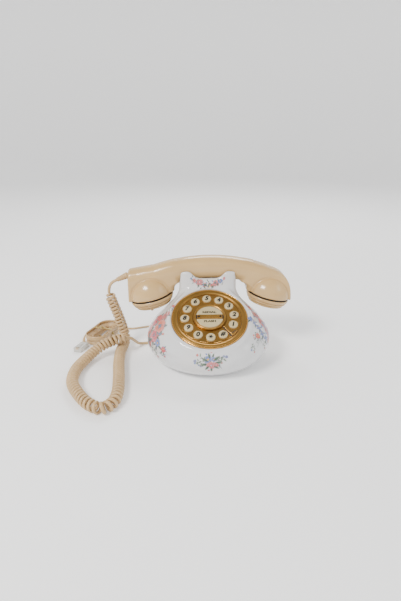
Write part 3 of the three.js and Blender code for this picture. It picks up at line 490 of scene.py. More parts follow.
def implicit_mesh(field, low, high, cell):
    """Points and four-sided faces of the surface where the field is zero."""
    axes = [np.arange(a, b + cell, cell) for a, b in zip(low, high)]
    grid = np.stack(np.meshgrid(*axes, indexing="ij"), -1)
    value = field(grid.reshape(-1, 3)).reshape(grid.shape[:3])
    size = np.array(value.shape) - 1
    corners = [(i, j, k) for i in (0, 1) for j in (0, 1) for k in (0, 1)]

    def corner_value(c):
        return value[c[0] : c[0] + size[0], c[1] : c[1] + size[1], c[2] : c[2] + size[2]]

    inside = sum((corner_value(c) < 0).astype(np.int8) for c in corners)
    active = (inside > 0) & (inside < 8)
    index = np.full(size, -1)
    index[active] = np.arange(active.sum())
    total = np.zeros((active.sum(), 3))
    crossings = np.zeros(active.sum())
    for a in corners:
        for b in corners:
            if sum(b) - sum(a) != 1 or any(y < x for x, y in zip(a, b)):
                continue
            first, second = corner_value(a)[active], corner_value(b)[active]
            crosses = (first < 0) != (second < 0)
            share = np.where(crosses, first / np.where(crosses, first - second, 1), 0)
            place = np.array(a) + share[:, None] * (np.array(b) - np.array(a))
            total += place * crosses[:, None]
            crossings += crosses
    cells = np.argwhere(active)
    points = np.array(low) + (cells + total / crossings[:, None]) * cell
    faces = []
    for axis in range(3):
        others = [a for a in range(3) if a != axis]
        start = [slice(1, -1)] * 3
        start[axis] = slice(0, -1)
        ahead = list(start)
        ahead[axis] = slice(1, None)
        first, second = value[tuple(start)] < 0, value[tuple(ahead)] < 0
        for flip in (False, True):
            found = np.argwhere(~first & second if flip else first & ~second)
            found[:, others] += 1
            ring = []
            for da, db in ((0, 0), (-1, 0), (-1, -1), (0, -1)):
                at = found.copy()
                at[:, others[0]] += da
                at[:, others[1]] += db
                ring.append(index[at[:, 0], at[:, 1], at[:, 2]])
            quads = np.stack(ring, 1)
            if flip != (axis == 1):
                quads = quads[:, ::-1]
            faces.append(quads)
    return settled(field, points, limit=cell / 2), np.vstack(faces)


# ---- cords --------------------------------------------------------------------------------
# The routes repeat the solids' own points.
HANDSET_LEAD_POINTS = [
    (-128.9, 38, 98.1), (-134.4, 38.1, 95), (-138.2, 38.4, 90), (-139.7, 38.8, 84.5),
    (-140, 39, 80),
]
CURL_POINTS = [
    (-139.9, 39, 78.8), (-134.8, 39, 62.4), (-128.7, 40, 43.4), (-124.1, 40, 27),
    (-121.4, 38.5, 15.5), (-121, 31, 8.9), (-122.3, 18, 7.4), (-123.6, 6, 7.4),
    (-122.3, -29, 7.4), (-117.4, -69.6, 7.4), (-114.6, -106, 7.4), (-117.5, -127, 7.4),
    (-127.5, -137.5, 7.4), (-142, -130, 7.4), (-159.2, -107, 7.4), (-172.3, -78.4, 7.4),
    (-173.7, -46, 7.4), (-166.5, -20, 8.2), (-157, -4, 12), (-146, 3, 17.2), (-133, 6.6, 21.8),
    (-124, 9.8, 22.9), (-117, 12.6, 22.9),
]
BASE_LEAD_POINTS = [
    (-115.8, 13.1, 22.8), (-110.4, 16.2, 20.4), (-105, 24, 12), (-101, 33, 4.6),
    (-95, 37.6, 2.4), (-87, 40, 2.4), (-80, 46, 4.8), (-74, 52.4, 10.5), (-69.4, 54.6, 13.6),
    (-65.8, 51.6, 14),
]
LINE_POINTS = [
    (-17.8, 78.4, 14), (-18.5, 82.3, 13.5), (-20.6, 88.4, 8.6), (-27, 96.4, 2.6),
    (-44, 103.4, 1.4), (-66, 105.5, 1.4), (-90, 102, 1.4), (-115, 94, 1.4), (-132.6, 86.6, 2.4),
]
CORD_WIDTH = 4.2
CORD_THICKNESS = 3.3
COIL_RADIUS = 5.85  # of the cord's middle, about the coil's
COIL_PITCH = 5.2
LOOSE_PITCH = 7.0  # where the coil is stretched round its tightest bend
LOOSE_PLACE = (-122, -134, 7)
LOOSE_REACH = 36
COIL_EASING = 6.0  # the length over which the coil opens at each end
CORD_STEP = 1.9  # between two rings of the cord's mesh
LINE_WIDTH = 4.4
LINE_THICKNESS = 2.2


def smooth_path(points, step):
    """A centripetal Catmull-Rom curve through the points, in even steps."""
    p = np.array(points, float)
    p = np.vstack([2 * p[0] - p[1], p, 2 * p[-1] - p[-2]])
    curve = []
    for i in range(1, len(p) - 2):
        a, b, c, d = p[i - 1 : i + 3]
        chords = [np.linalg.norm(q - r) for q, r in ((b, a), (c, b), (d, c))]
        t = np.cumsum([0] + [max(chord, 1e-6) ** 0.5 for chord in chords])
        for s in np.linspace(t[1], t[2], 24, endpoint=False):
            ab = a + (b - a) * (s - t[0]) / (t[1] - t[0])
            bc = b + (c - b) * (s - t[1]) / (t[2] - t[1])
            cd = c + (d - c) * (s - t[2]) / (t[3] - t[2])
            abc = ab + (bc - ab) * (s - t[0]) / (t[2] - t[0])
            bcd = bc + (cd - bc) * (s - t[1]) / (t[3] - t[1])
            curve.append(abc + (bcd - abc) * (s - t[1]) / (t[2] - t[1]))
    return evened(np.array(curve + [p[-2]]), step)


def path_lengths(path):
    return np.concatenate([[0], np.cumsum(np.linalg.norm(np.diff(path, axis=0), axis=1))])


def resampled(values, along, wanted):
    return np.stack([np.interp(wanted, along, values[:, k]) for k in range(3)], 1)


def evened(path, step):
    along = path_lengths(path)
    wanted = np.linspace(0, along[-1], max(int(round(along[-1] / step)), 2) + 1)
    return resampled(path, along, wanted)


def eased(share):
    """A share from 0 to 1 that starts and ends gently."""
    return share * share * (3 - 2 * share)


def unit(vectors):
    return vectors / np.maximum(np.linalg.norm(vectors, axis=-1, keepdims=True), 1e-9)


def tangents(path):
    return unit(np.gradient(path, axis=0))


def carried_side(path, first):
    """A side direction carried along a path without twisting."""
    ahead = tangents(path)
    side = np.zeros_like(path)
    side[0] = unit(np.array(first) - np.dot(first, ahead[0]) * ahead[0])
    for i in range(1, len(path)):
        turned = side[i - 1] - np.dot(side[i - 1], ahead[i]) * ahead[i]
        side[i] = unit(turned)
    return side


def cord_tube(path, side, width, thickness, around=12):
    """A tube with a rounded flat section: its thickness along side, its width across."""
    ahead = tangents(path)
    side = unit(side - (side * ahead).sum(1)[:, None] * ahead)
    across = np.cross(ahead, side)
    angle = np.linspace(0, 2 * math.pi, around, endpoint=False)
    flat = np.sign(np.cos(angle)) * np.abs(np.cos(angle))
    tall = np.sign(np.sin(angle)) * np.abs(np.sin(angle)) ** 1.1
    points = (
        path[:, None]
        + side[:, None] * (flat * thickness / 2)[None, :, None]
        + across[:, None] * (tall * width / 2)[None, :, None]
    ).reshape(-1, 3)
    faces = []
    rings = len(path)
    for i in range(rings - 1):
        for j in range(around):
            k = (j + 1) % around
            a, b = i * around, (i + 1) * around
            faces.append([a + j, a + k, b + k, b + j])
    faces.append(list(range(around))[::-1])
    faces.append([(rings - 1) * around + j for j in range(around)])
    return points, faces


def curly_path():
    """The cord's own middle line, and the side that faces out of its coil."""
    lead = smooth_path(HANDSET_LEAD_POINTS, 1.0)
    coil = smooth_path(CURL_POINTS, 0.2)
    tail = smooth_path(BASE_LEAD_POINTS, 1.0)
    spine = evened(np.vstack([lead, coil, tail]), 0.2)
    along = path_lengths(spine)
    starts = path_lengths(lead)[-1]
    ends = along[-1] - path_lengths(tail)[-1]
    open_share = eased(np.clip(np.minimum(along - starts, ends - along) / COIL_EASING, 0, 1))
    from_bend = np.linalg.norm(spine - np.array(LOOSE_PLACE), axis=1)
    loose = np.exp(-((from_bend / LOOSE_REACH) ** 2))
    pitch = COIL_PITCH + (LOOSE_PITCH - COIL_PITCH) * loose
    turning = np.where((along > starts) & (along < ends), 1 / pitch, 0)
    turn = 2 * math.pi * np.cumsum(turning) * (along[1] - along[0])
    side = carried_side(spine, (0, 1, 0))
    other = np.cross(tangents(spine), side)
    outward = side * np.cos(turn)[:, None] + other * np.sin(turn)[:, None]
    path = spine + outward * (COIL_RADIUS * open_share)[:, None]
    steps = path_lengths(path)
    wanted = np.linspace(0, steps[-1], int(steps[-1] / CORD_STEP))
    return resampled(path, steps, wanted), unit(resampled(outward, steps, wanted))


def make_curly_cord():
    path, outward = curly_path()
    points, faces = cord_tube(path, outward, CORD_WIDTH, CORD_THICKNESS, 10)
    nodes = ("cord_handset_lead", "curly_cord", "cord_base_lead")
    cord = make_piece(
        "handset_cord", points, faces, [CORD_VINYL], None, nodes, sharp=60
    )
    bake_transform(cord)


# The hank's own frame: along it, across it, and up.
HANK_LOW, HANK_HIGH = span("line_cord_hank")
HANK_MIDDLE = (HANK_LOW + HANK_HIGH) / 2
HANK_TURN = math.radians(69.7)
HANK_LENGTH = 68
HANK_WIDTH = 34
TURNS_IN = 5  # in the layer on the table, from the outside in
TURNS_OUT = 5  # in the layer above it, and back out
TURNS_OVER = 1  # once more round the outside
TURN_STEP = 2.38  # from one turn to the next within a layer
ARRIVAL = [(36.5, -21, 2.2), (33.8, -9, 3.3)]
TAIL = [(-12, 17.6, 11), (-22, 18.9, 7.2), (-31, 14.6, 4.2), (-36, 10.9, 3.5), (-39, 9.4, 3.5)]


def in_hank(points):
    c, s = math.cos(HANK_TURN), math.sin(HANK_TURN)
    p = np.asarray(points, float)
    x = HANK_MIDDLE[0] + p[:, 0] * c - p[:, 1] * s
    y = HANK_MIDDLE[1] + p[:, 0] * s + p[:, 1] * c
    return np.stack([x, y, p[:, 2]], 1)


def stadium_point(turn, inset, pinch):
    """A point on a stadium, pinched at its waist; turn runs from its +X tip, anticlockwise."""
    r = HANK_WIDTH / 2 - LINE_THICKNESS / 2 - inset
    straight = (HANK_LENGTH - HANK_WIDTH) / 2
    lengths = np.cumsum([math.pi * r / 2, 2 * straight, math.pi * r, 2 * straight])
    d = (turn % 1) * (2 * math.pi * r + 4 * straight)
    if d < lengths[0]:
        return straight + r * math.cos(d / r), r * math.sin(d / r)
    if d < lengths[1]:
        x = straight - (d - lengths[0])
        return x, r * (1 - pinch * math.cos(math.pi * x / (2 * straight)) ** 2)
    if d < lengths[2]:
        a = math.pi / 2 + (d - lengths[1]) / r
        return -straight + r * math.cos(a), r * math.sin(a)
    if d < lengths[3]:
        x = -straight + (d - lengths[2])
        return x, -r * (1 - pinch * math.cos(math.pi * x / (2 * straight)) ** 2)
    a = 1.5 * math.pi + (d - lengths[3]) / r
    return straight + r * math.cos(a), r * math.sin(a)


def hank_points():
    """The wound turns: in along the table, back out above, once round, and off past the tie."""
    steps = 48
    low = HANK_LOW[2] + LINE_WIDTH / 2
    layer_rise = LINE_WIDTH + 0.08
    off = 0.27  # of a turn more, to the waist beyond the +X end
    points = []
    for k in range(int((TURNS_IN + TURNS_OUT + TURNS_OVER + off) * steps)):
        turn = k / steps
        inset = TURN_STEP * min(turn, TURNS_IN - 1)
        if turn > TURNS_IN:
            inset = TURN_STEP * max(TURNS_IN - 1 - (turn - TURNS_IN), 0)
        climbs = np.clip([turn - (TURNS_IN - 1), turn - (TURNS_IN + TURNS_OUT - 1)], 0, 1)
        rise = float(eased(climbs).sum())
        pinch = 0.05 + 0.02 * math.sin(2.1 * turn)
        x, y = stadium_point(turn, inset, pinch)
        points.append((x, y, low + rise * layer_rise))
    return points


def line_path():
    wound = in_hank(hank_points())
    arriving = smooth_path([*LINE_POINTS[:-1], *in_hank(ARRIVAL), *wound[:3]], 1.0)
    leaving = smooth_path([*wound[-3:], *in_hank(TAIL)], 1.0)
    path = evened(np.vstack([arriving[:-2], wound[2:-2], leaving]), 1.2)
    for _ in range(3):
        path[1:-1] = (path[:-2] + 2 * path[1:-1] + path[2:]) / 4
    return path


def make_line_cord():
    path = line_path()
    along = path_lengths(path)
    ahead = tangents(path)
    level = unit(np.cross(ahead, (0, 0, 1)))
    upward = np.cross(level, ahead)
    flat_until, upright_from = 118, 150  # it lies flat on the table, and stands in the hank
    flat_at_plug, turning_back = 6, 26
    last = along[-1]
    stand = np.clip((along - flat_until) / (upright_from - flat_until), 0, 1)
    stand = np.minimum(stand, np.clip((last - flat_at_plug - along) / turning_back, 0, 1))
    roll = (eased(stand) * math.pi / 2)[:, None]
    side = upward * np.cos(roll) + level * np.sin(roll)
    points, faces = cord_tube(path, side, LINE_WIDTH, LINE_THICKNESS, 12)
    nodes = ("line_cord", "line_cord_hank")
    cord = make_piece(
        "line_cord_wound", points, faces, [CORD_VINYL], ROOT, nodes, sharp=60
    )


def box_into(shape, low, high, kind=0, bevel=0.4):
    """Adds a box with its upper edges bevelled."""
    (x0, y0, z0), (x1, y1, z1) = low, high
    outline = [(x0, y0), (x1, y0), (x1, y1), (x0, y1)]
    return prism(shape, outline, z0, z1, kind, bevel)


def make_line_plug():
    """A modular plug: a clear shell with a latch, contacts and a boot for the flat cord."""
    shape = Shape()
    box_into(shape, (-10.5, -5.8, 0.2), (7, 5.8, 6.8), 0, 0.5)
    box_into(shape, (7, -5.8, 0.2), (10.5, -2.6, 6.8), 0, 0.4)
    box_into(shape, (7, 2.6, 0.2), (10.5, 5.8, 6.8), 0, 0.4)
    box_into(shape, (7, -2.6, 0.2), (10.5, 2.6, 2.2), 0, 0.2)
    box_into(shape, (7, -2.6, 5), (10.5, 2.6, 6.8), 0, 0.2)
    box_into(shape, (-8, -1.6, 6.8), (3, 1.6, 7.5), 0, 0.3)
    box_into(shape, (-8.5, -3, 7.5), (-7.2, 3, 7.8), 0, 0.1)
    for i in range(4):
        y = -1.9 + i * 1.27
        box_into(shape, (-10.6, y - 0.2, 4.2), (-6, y + 0.2, 6.95), 1, 0.05)
    low, high = span("line_plug")
    place = (low + high) / 2
    c, s = math.cos(HANK_TURN), math.sin(HANK_TURN)
    turn = np.array([[c, s, 0], [-s, c, 0], [0, 0, 1]])
    shape.moved(lambda p: p @ turn + (place[0], place[1], 0))
    materials = [CLEAR, HIGHLIGHT_GOLD]
    return shape_piece(shape, "modular_plug", materials, "line_plug", sharp=25)


def make_hank_tie():
    """A flat strap round the hank, its ends twisted together on top."""
    half_width, low, high = HANK_WIDTH / 2 + 0.3, HANK_LOW[2] - 0.4, HANK_HIGH[2] + 0.5
    waist = half_width * 0.97
    corners = [
        (waist, low + 4), (waist, high - 4), (waist - 3, high - 0.4), (0, high + 0.2),
        (-waist + 3, high - 0.4), (-waist, high - 4), (-waist, low + 4), (-waist + 3, low + 0.2),
        (0, low), (waist - 3, low + 0.2), (waist, low + 4),
    ]
    loop = evened(np.array([(0.0, y, z) for y, z in corners]), 1.0)
    for _ in range(3):
        inner = (np.roll(loop[:-1], 1, 0) + 2 * loop[:-1] + np.roll(loop[:-1], -1, 0)) / 4
        loop = np.vstack([inner, inner[:1]])
    shape = Shape()
    points, faces = cord_tube(loop, np.cross(tangents(loop), (1, 0, 0)), 3.6, 0.9, 10)
    shape.add(points, faces)
    for side in (0, math.pi):
        t = np.linspace(0, 1, 40)
        twist = 3.2 * math.pi * np.minimum(t / 0.6, 1) + side
        spread_out = 0.75 + 4.5 * np.clip(t - 0.55, 0, 1) ** 1.3
        rise = high + 0.6 + 7.5 * t - 5 * t * t
        along, across = np.cos(twist) * spread_out - 9 * t * t, np.sin(twist) * spread_out + 3 * t
        strand = np.stack([along, across, rise], 1)
        points, faces = cord_tube(strand, np.tile((0.0, 0.0, 1.0), (40, 1)), 1.3, 0.7, 8)
        shape.add(points, faces)
    shape.moved(in_hank)
    return shape_piece(shape, "twist_tie", [TIE], "hank_tie", sharp=60)


def aimed(points, place, direction):
    """Points made along +Z, turned along a direction and moved to a place."""
    turn = Vector((0, 0, 1)).rotation_difference(Vector(direction)).to_matrix()
    return np.asarray(points) @ np.array(turn).T + np.array(place, float)


SOCKET_ANGLES = {"handset_cord_bush": 140, "line_cord_bush": 100}
BUSH_RADIUS = 3.3
BUSH_LIP = 1.2  # how far its lip stands out


def make_bush(node, name):
    """A lipped rubber stopper in the porcelain, where a cord comes out."""
    angle = math.radians(SOCKET_ANGLES[node])
    way = np.array([math.cos(angle), math.sin(angle), 0])
    low, high = span(node)
    reach = (node_points(node) @ way).max()
    place = way * reach + np.array([0, 0, (low[2] + high[2]) / 2])
    across = middle(node) - (middle(node) @ way) * way
    place[:2] = (way * reach + across)[:2]
    outline = [(0, -13.2), (BUSH_RADIUS, -13.2), (BUSH_RADIUS, -1.2), (4.3, -0.9), (4.3, 0.2)]
    outline += [(3.5, 0.9), (2.6, BUSH_LIP), (0, BUSH_LIP)]
    shape = lathe(Shape(), rounded(outline, 0.35, keep=(0, 7)), 32, closed=False)
    shape.moved(lambda p: aimed(p - (0, 0, BUSH_LIP), place, way))
    return shape_piece(shape, name, [CORD_VINYL], node)


RELIEF_ROOT = (-112, 38, 105.5)
RELIEF_DIRECTION = (-16, 0, -7)
RELIEF_RIBS = 6
RELIEF_LENGTH = 15.5
RELIEF_NECK = 2.3


def make_strain_relief():
    """A tapering ribbed sleeve at the handset's mouth end."""
    outline = [(0, -6), (2.9, -6), (2.9, RELIEF_NECK * 0.2), (4.3, RELIEF_NECK * 0.3)]
    for i in range(RELIEF_RIBS):
        radius = 4.7 - 1.5 * i / (RELIEF_RIBS - 1)
        start = RELIEF_NECK + RELIEF_LENGTH * i / RELIEF_RIBS
        end = RELIEF_NECK + RELIEF_LENGTH * (i + 0.62) / RELIEF_RIBS
        following = RELIEF_NECK + RELIEF_LENGTH * (i + 1) / RELIEF_RIBS
        outline += [(radius, start), (radius - 0.1, end), (radius - 0.9, end + 0.15)]
        outline.append((radius - 1.0, following - 0.15))
    outline += [(2.4, RELIEF_NECK + RELIEF_LENGTH), (0, RELIEF_NECK + RELIEF_LENGTH)]
    shape = lathe(Shape(), rounded(outline, 0.3, keep=(0, len(outline) - 1)), 36, closed=False)
    shape.moved(lambda p: aimed(p, RELIEF_ROOT, RELIEF_DIRECTION))
    node = "handset_strain_relief"
    return shape_piece(shape, "strain_relief", [CORD_VINYL], node, HANDSET)


# ---- porcelain body -----------------------------------------------------------------------
BELLY_HALF_WIDTH = 82
BELLY_HALF_DEPTH = 80
BELLY_Z = 31
FOOT_RADIUS = 52
RIM_Z = 1.6
BULB_TOP_Z = 80
WALL = 4.5
NECK_HALF_WIDTH = 38.5
NECK_HALF_DEPTH = 22.5
NECK_ROUNDNESS = 6.5
EAR_TOP_Z = 115
EAR_GAP_HALF = 16
EAR_GAP_SLOPE = 0.65
EAR_GAP_Z = 105
BULB_BLEND = 21
DIAL_BLEND = 11
DIAL_LIP = 0.8
DIAL_SEAT = 4
BEZEL_RADIUS = 48.8
SKIRT_RADIUS = 44.6
GRIP_TOP_Z = 132
GRIP_HALF_HEIGHT = 15.2
GRIP_HALF_DEPTH = 15.5
GRIP_TOP_RADIUS = 234
CRADLE_GAP = 0.6
CRADLE_Z = GRIP_TOP_Z - 2 * GRIP_HALF_HEIGHT - CRADLE_GAP
CAVITY_FLOOR_Z = 9.6
PLATE_RADIUS = 47.8
FLANGE_Z = 5.1
FLANGE_RADIUS = 38
SOCKET_Z = 14
NECK_FOOT_Z = BELLY_Z + 12  # the neck is not used below this
NECK_TOP_SOFTNESS = 3.5
TROUGH_SOFTNESS = 3.5
EAR_DIP_SOFTNESS = 5
SEAT_DEPTH = 40
SKIRT_DEPTH = 18  # of the bezel's skirt in its hole
PLUNGER_HOLE_RADIUS = 4.4
PLUNGER_HOLE_BOTTOM_Z = 90
SOCKET_HOLE_FROM = 45  # from the body's middle
PORCELAIN_CELL, PORCELAIN_QUICK_CELL = 1.35, 2.4
SECTION_POWER = 2.5  # of the handset's squarish oval section


def ellipse_distance(across, up, half_across, half_up):
    scaled = np.hypot(across / half_across, up / half_up)
    slope = np.hypot(across / half_across**2, up / half_up**2)
    return scaled * (scaled - 1) / np.maximum(slope, 1e-6)


def bulb_distance(p, inset):
    reach = np.hypot(p[:, 0], p[:, 1] * BELLY_HALF_WIDTH / BELLY_HALF_DEPTH)
    width = BELLY_HALF_WIDTH - inset
    up = p[:, 2] - BELLY_Z
    over = ellipse_distance(reach, up, width, BULB_TOP_Z - BELLY_Z - inset)
    past_foot = np.maximum(reach - FOOT_RADIUS, 0)
    under = ellipse_distance(past_foot, up, width - FOOT_RADIUS, BELLY_Z - RIM_Z - inset)
    return np.where(p[:, 2] >= BELLY_Z, over, under)


def neck_distance(p, inset, top):
    across = np.abs(p[:, 0]) / (NECK_HALF_WIDTH - inset)
    along = np.abs(p[:, 1] - NECK_Y) / (NECK_HALF_DEPTH - inset)
    side = (super_reach(across, along, NECK_ROUNDNESS) - 1) * (NECK_HALF_DEPTH - inset)
    topped = smooth_max(side, p[:, 2] - top, NECK_TOP_SOFTNESS)
    return smooth_max(topped, NECK_FOOT_Z - p[:, 2], 5)


def dial_reach(p):
    """How far points stand out of the dial's plane, and how far they are from its axis."""
    away = p + (BODY_X, 0, 0) - DIAL_ORIGIN
    out = away @ DIAL_OUT
    return out, np.sqrt(np.maximum((away**2).sum(1) - out**2, 0))


def casting_distance(p, inset, top):
    out, reach = dial_reach(p)
    face = out - DIAL_LIP + inset
    bulb = smooth_max(bulb_distance(p, inset), face, DIAL_BLEND)
    seat_side = reach - (BEZEL_RADIUS + DIAL_SEAT - inset)
    seat = smooth_max(smooth_max(seat_side, face, 3), -out - SEAT_DEPTH, 3)
    whole = smooth_min(bulb, neck_distance(p, inset, top), BULB_BLEND)
    return smooth_min(whole, seat, DIAL_BLEND)


def grip_underside(x):
    inner = GRIP_TOP_RADIUS - 2 * GRIP_HALF_HEIGHT
    return GRIP_TOP_Z - GRIP_TOP_RADIUS + np.sqrt(inner**2 - np.minimum(np.abs(x), 100) ** 2)


def squarish(across, up, half):
    """The distance from the handset's section, from a point's two shares of the way out."""
    return (super_reach(across, up, SECTION_POWER) - 1) * half


def trough_distance(p):
    low = grip_underside(p[:, 0] + BODY_X) - CRADLE_GAP
    half = GRIP_HALF_DEPTH + CRADLE_GAP
    drop = np.maximum(low + GRIP_HALF_HEIGHT - p[:, 2], 0) / GRIP_HALF_HEIGHT
    side = np.abs(p[:, 1] - NECK_Y) / half
    return squarish(side, drop, half)


def ear_dip_distance(p):
    side = np.abs(p[:, 0]) - EAR_GAP_HALF - EAR_GAP_SLOPE * (p[:, 2] - EAR_GAP_Z)
    return smooth_max(EAR_GAP_Z - p[:, 2], side / math.hypot(1, EAR_GAP_SLOPE), 7)


def tube_distance(p, place, way, radius):
    away = p - np.array(place)
    way = np.array(way, float)
    return np.linalg.norm(away - (away @ way)[:, None] * way, axis=1) - radius


def outer_glaze(p):
    """The casting's skin with its cradle, without its holes; p is from the body's middle."""
    skin = casting_distance(p, 0, EAR_TOP_Z)
    skin = smooth_max(skin, -trough_distance(p), TROUGH_SOFTNESS)
    return smooth_max(skin, -ear_dip_distance(p), EAR_DIP_SOFTNESS)


def porcelain_distance(p):
    out, reach = dial_reach(p)
    shape = smooth_max(outer_glaze(p), -np.maximum(reach - BEZEL_RADIUS - 0.3, -out), 1.6)
    shape = np.maximum(shape, -np.maximum(reach - SKIRT_RADIUS, -out - SKIRT_DEPTH))
    inside = np.maximum(casting_distance(p, WALL, CRADLE_Z - WALL), CAVITY_FLOOR_Z - p[:, 2])
    shape = np.maximum(shape, -inside)
    flat = np.hypot(p[:, 0], p[:, 1])
    shape = smooth_max(shape, -np.maximum(flat - PLATE_RADIUS, p[:, 2] - FLANGE_Z), 1)
    shape = np.maximum(shape, -np.maximum(flat - FLANGE_RADIUS, p[:, 2] - CAVITY_FLOOR_Z - 1))
    from_plunger = np.hypot(p[:, 0], p[:, 1] - NECK_Y)
    plunger = np.maximum(from_plunger - PLUNGER_HOLE_RADIUS, PLUNGER_HOLE_BOTTOM_Z - p[:, 2])
    shape = smooth_max(shape, -plunger, 1.2)
    for degrees in SOCKET_ANGLES.values():
        way = (math.cos(math.radians(degrees)), math.sin(math.radians(degrees)), 0)
        hole = tube_distance(p, (0, 0, SOCKET_Z), way, BUSH_RADIUS + 0.4)
        shape = np.maximum(shape, -np.maximum(hole, SOCKET_HOLE_FROM - p @ np.array(way)))
    return shape


def make_porcelain():
    cell = PORCELAIN_CELL
    low = (-BELLY_HALF_WIDTH - 3, -BELLY_HALF_DEPTH - 3, -1)
    high = (BELLY_HALF_WIDTH + 3, BELLY_HALF_DEPTH + 3, EAR_TOP_Z + 3)
    points, faces = implicit_mesh(porcelain_distance, low, high, cell)
    make_piece(
        "porcelain_casting", points + (BODY_X, 0, 0), faces.tolist(), [GLAZE],
        nodes=("porcelain_body",), sharp=180,
    )


# ---- painted flowers ----------------------------------------------------------------------
DEEP_PINK = (0.50, 0.045, 0.075)
PINK = (0.54, 0.07, 0.09)
PALE_PINK = (0.64, 0.20, 0.19)
CORAL = (0.70, 0.16, 0.06)
BLUE = (0.07, 0.12, 0.36)
PALE_BLUE = (0.15, 0.23, 0.46)
DARK_LEAF = (0.018, 0.06, 0.035)
GREY_LEAF = (0.10, 0.16, 0.10)
BLUE_LEAF = (0.09, 0.14, 0.22)
YELLOW = (0.75, 0.45, 0.05)
WASH = (0.68, 0.56, 0.55)
PAINT_LIFT = 0.12  # of the first coat over the glaze, in millimetres
COAT_STEP = 0.004  # each stroke lies this much over the one before,
COATS = 60  # and after this many they start again


class Painting:
    """Brush strokes laid on the glaze, each a small grid with a colour at every point."""

    def __init__(self):
        self.points, self.faces, self.colors = [], [], []
        self.random = random.Random(11)

    def about(self, value, share):
        return value * self.random.uniform(1 - share, 1 + share)

    def place_at(self, anchor):
        """Sets where to paint next: ("bulb", degrees, z) or ("neck", x, z)."""
        kind, a, z = anchor
        if kind == "bulb":
            way = np.array([math.cos(math.radians(a)), math.sin(math.radians(a)), 0])
            inner, outer = way * 20 + (0, 0, z), way * 100 + (0, 0, z)
        else:
            inner, outer = np.array([a, NECK_Y - 8, z]), np.array([a, -40.0, z])
        for _ in range(24):
            half = (inner + outer) / 2
            if outer_glaze(half[None])[0] < 0:
                inner = half
            else:
                outer = half
        self.middle = inner
        normal = unit(slopes(outer_glaze, inner[None]))[0]
        self.up = unit((np.array([0, 0, 1.0]) - normal * normal[2])[None])[0]
        self.right = np.cross(self.up, normal)

    def stroke(self, across, along, colors):
        """Adds a grid of flat points, rows by columns, with a colour for each."""
        flat = self.middle + across.reshape(-1, 1) * self.right + along.reshape(-1, 1) * self.up
        skin = settled(outer_glaze, flat, rounds=6, limit=3.0)
        normal = unit(slopes(outer_glaze, skin))
        lift = PAINT_LIFT + COAT_STEP * (len(self.points) % COATS)
        start = sum(len(p) for p in self.points)
        self.points.append(skin + normal * lift)
        self.colors.append(colors.reshape(-1, 3))
        rows, columns = across.shape
        for i in range(rows - 1):
            for j in range(columns - 1):
                a = start + i * columns + j
                self.faces.append([a, a + 1, a + columns + 1, a + columns])

    def petal(self, x, y, degrees, length, width, root, tip, pointed=False):
        """A petal or leaf that starts at (x, y): deep at its root and washed out at its edge."""
        turn = math.radians(degrees)
        t = np.linspace(0, 1, 6)[:, None]
        s = np.linspace(-1, 1, 5)[None, :]
        if pointed:
            fullness = np.sin(np.pi * t**0.8) ** 0.9
        else:
            fullness = np.sqrt(np.maximum(1 - (2 * t**0.75 - 1) ** 2, 0))
        out = t * length * np.ones_like(s)
        side = s * fullness * width / 2 + 0.08 * length * t * t * self.random.uniform(-1, 1)
        across = x + out * math.cos(turn) - side * math.sin(turn)
        along = y + out * math.sin(turn) + side * math.cos(turn)
        edge = np.clip(np.maximum(np.abs(s) ** 3 * 0.55, (t - 0.55) * 1.1), 0, 1) * np.ones_like(out)
        tone = np.array(root) * (1 - t)[..., None] + np.array(tip) * t[..., None]
        colors = tone * (1 - 0.5 * edge[..., None]) + np.array(WASH) * 0.5 * edge[..., None]
        self.stroke(across, along, colors)

    def blossom(self, x, y, radius, root, tip, heart=YELLOW, petals=5):
        start = self.random.uniform(0, 360)
        for i in range(petals):
            angle = start + 360 * i / petals + self.random.uniform(-9, 9)
            length = self.about(radius, 0.12)
            self.petal(x, y, angle, length, length * 0.95, root, tip)
        for i in range(4):
            self.petal(x, y, i * 90, radius * 0.28, radius * 0.3, heart, shade(heart, 0.6))

    def rose(self, x, y, radius, root, tip):
        for ring, (share, count) in enumerate(((1.0, 7), (0.72, 6), (0.45, 4))):
            for i in range(count):
                angle = 360 * i / count + 31 * ring + self.random.uniform(-12, 12)
                away = radius * share * 0.28
                turn = math.radians(angle)
                length = self.about(radius * share * 0.72, 0.12)
                place = x + away * math.cos(turn), y + away * math.sin(turn)
                deep = shade(root, 0.75 + 0.25 * self.random.random())
                tilt = angle + self.random.uniform(-20, 20)
                self.petal(*place, tilt, length, length * 1.15, deep, tip)

    def leaf(self, x, y, degrees, length, root=DARK_LEAF, tip=GREY_LEAF):
        self.petal(x, y, degrees, length, length * 0.36, root, tip, pointed=True)

    def stem(self, x, y, degrees, length, bend, color=GREY_LEAF, thick=0.5):
        t = np.linspace(0, 1, 9)
        turn = np.radians(degrees + bend * t)
        step = length / 8
        way = np.stack([np.cos(turn), np.sin(turn)], 1)
        place = np.array([x, y]) + np.cumsum(way, 0) * step
        side = np.stack([-np.sin(turn), np.cos(turn)], 1) * (thick * (1 - 0.6 * t) / 2)[:, None]
        grid = np.stack([place - side, place + side], 1)
        colors = np.broadcast_to(np.array(color), (9, 2, 3))
        self.stroke(grid[..., 0], grid[..., 1], colors)
        return tuple(place[-1])

    def sprig(self, x, y, degrees, length, bend, flower, root, tip, leaf=GREY_LEAF):
        """A stem with leaves along it and a small flower or bud at its end."""
        end = self.stem(x, y, degrees, length, bend, leaf)
        for i in range(3):
            share = (i + 1) / 4
            turn = math.radians(degrees + bend * share * 0.5)
            at = x + length * share * math.cos(turn), y + length * share * math.sin(turn)
            side = 48 if i % 2 else -48
            self.leaf(*at, degrees + side, self.about(length * 0.34, 0.2), leaf, shade(leaf, 1.6))
        if flower:
            self.blossom(*end, flower, root, tip)

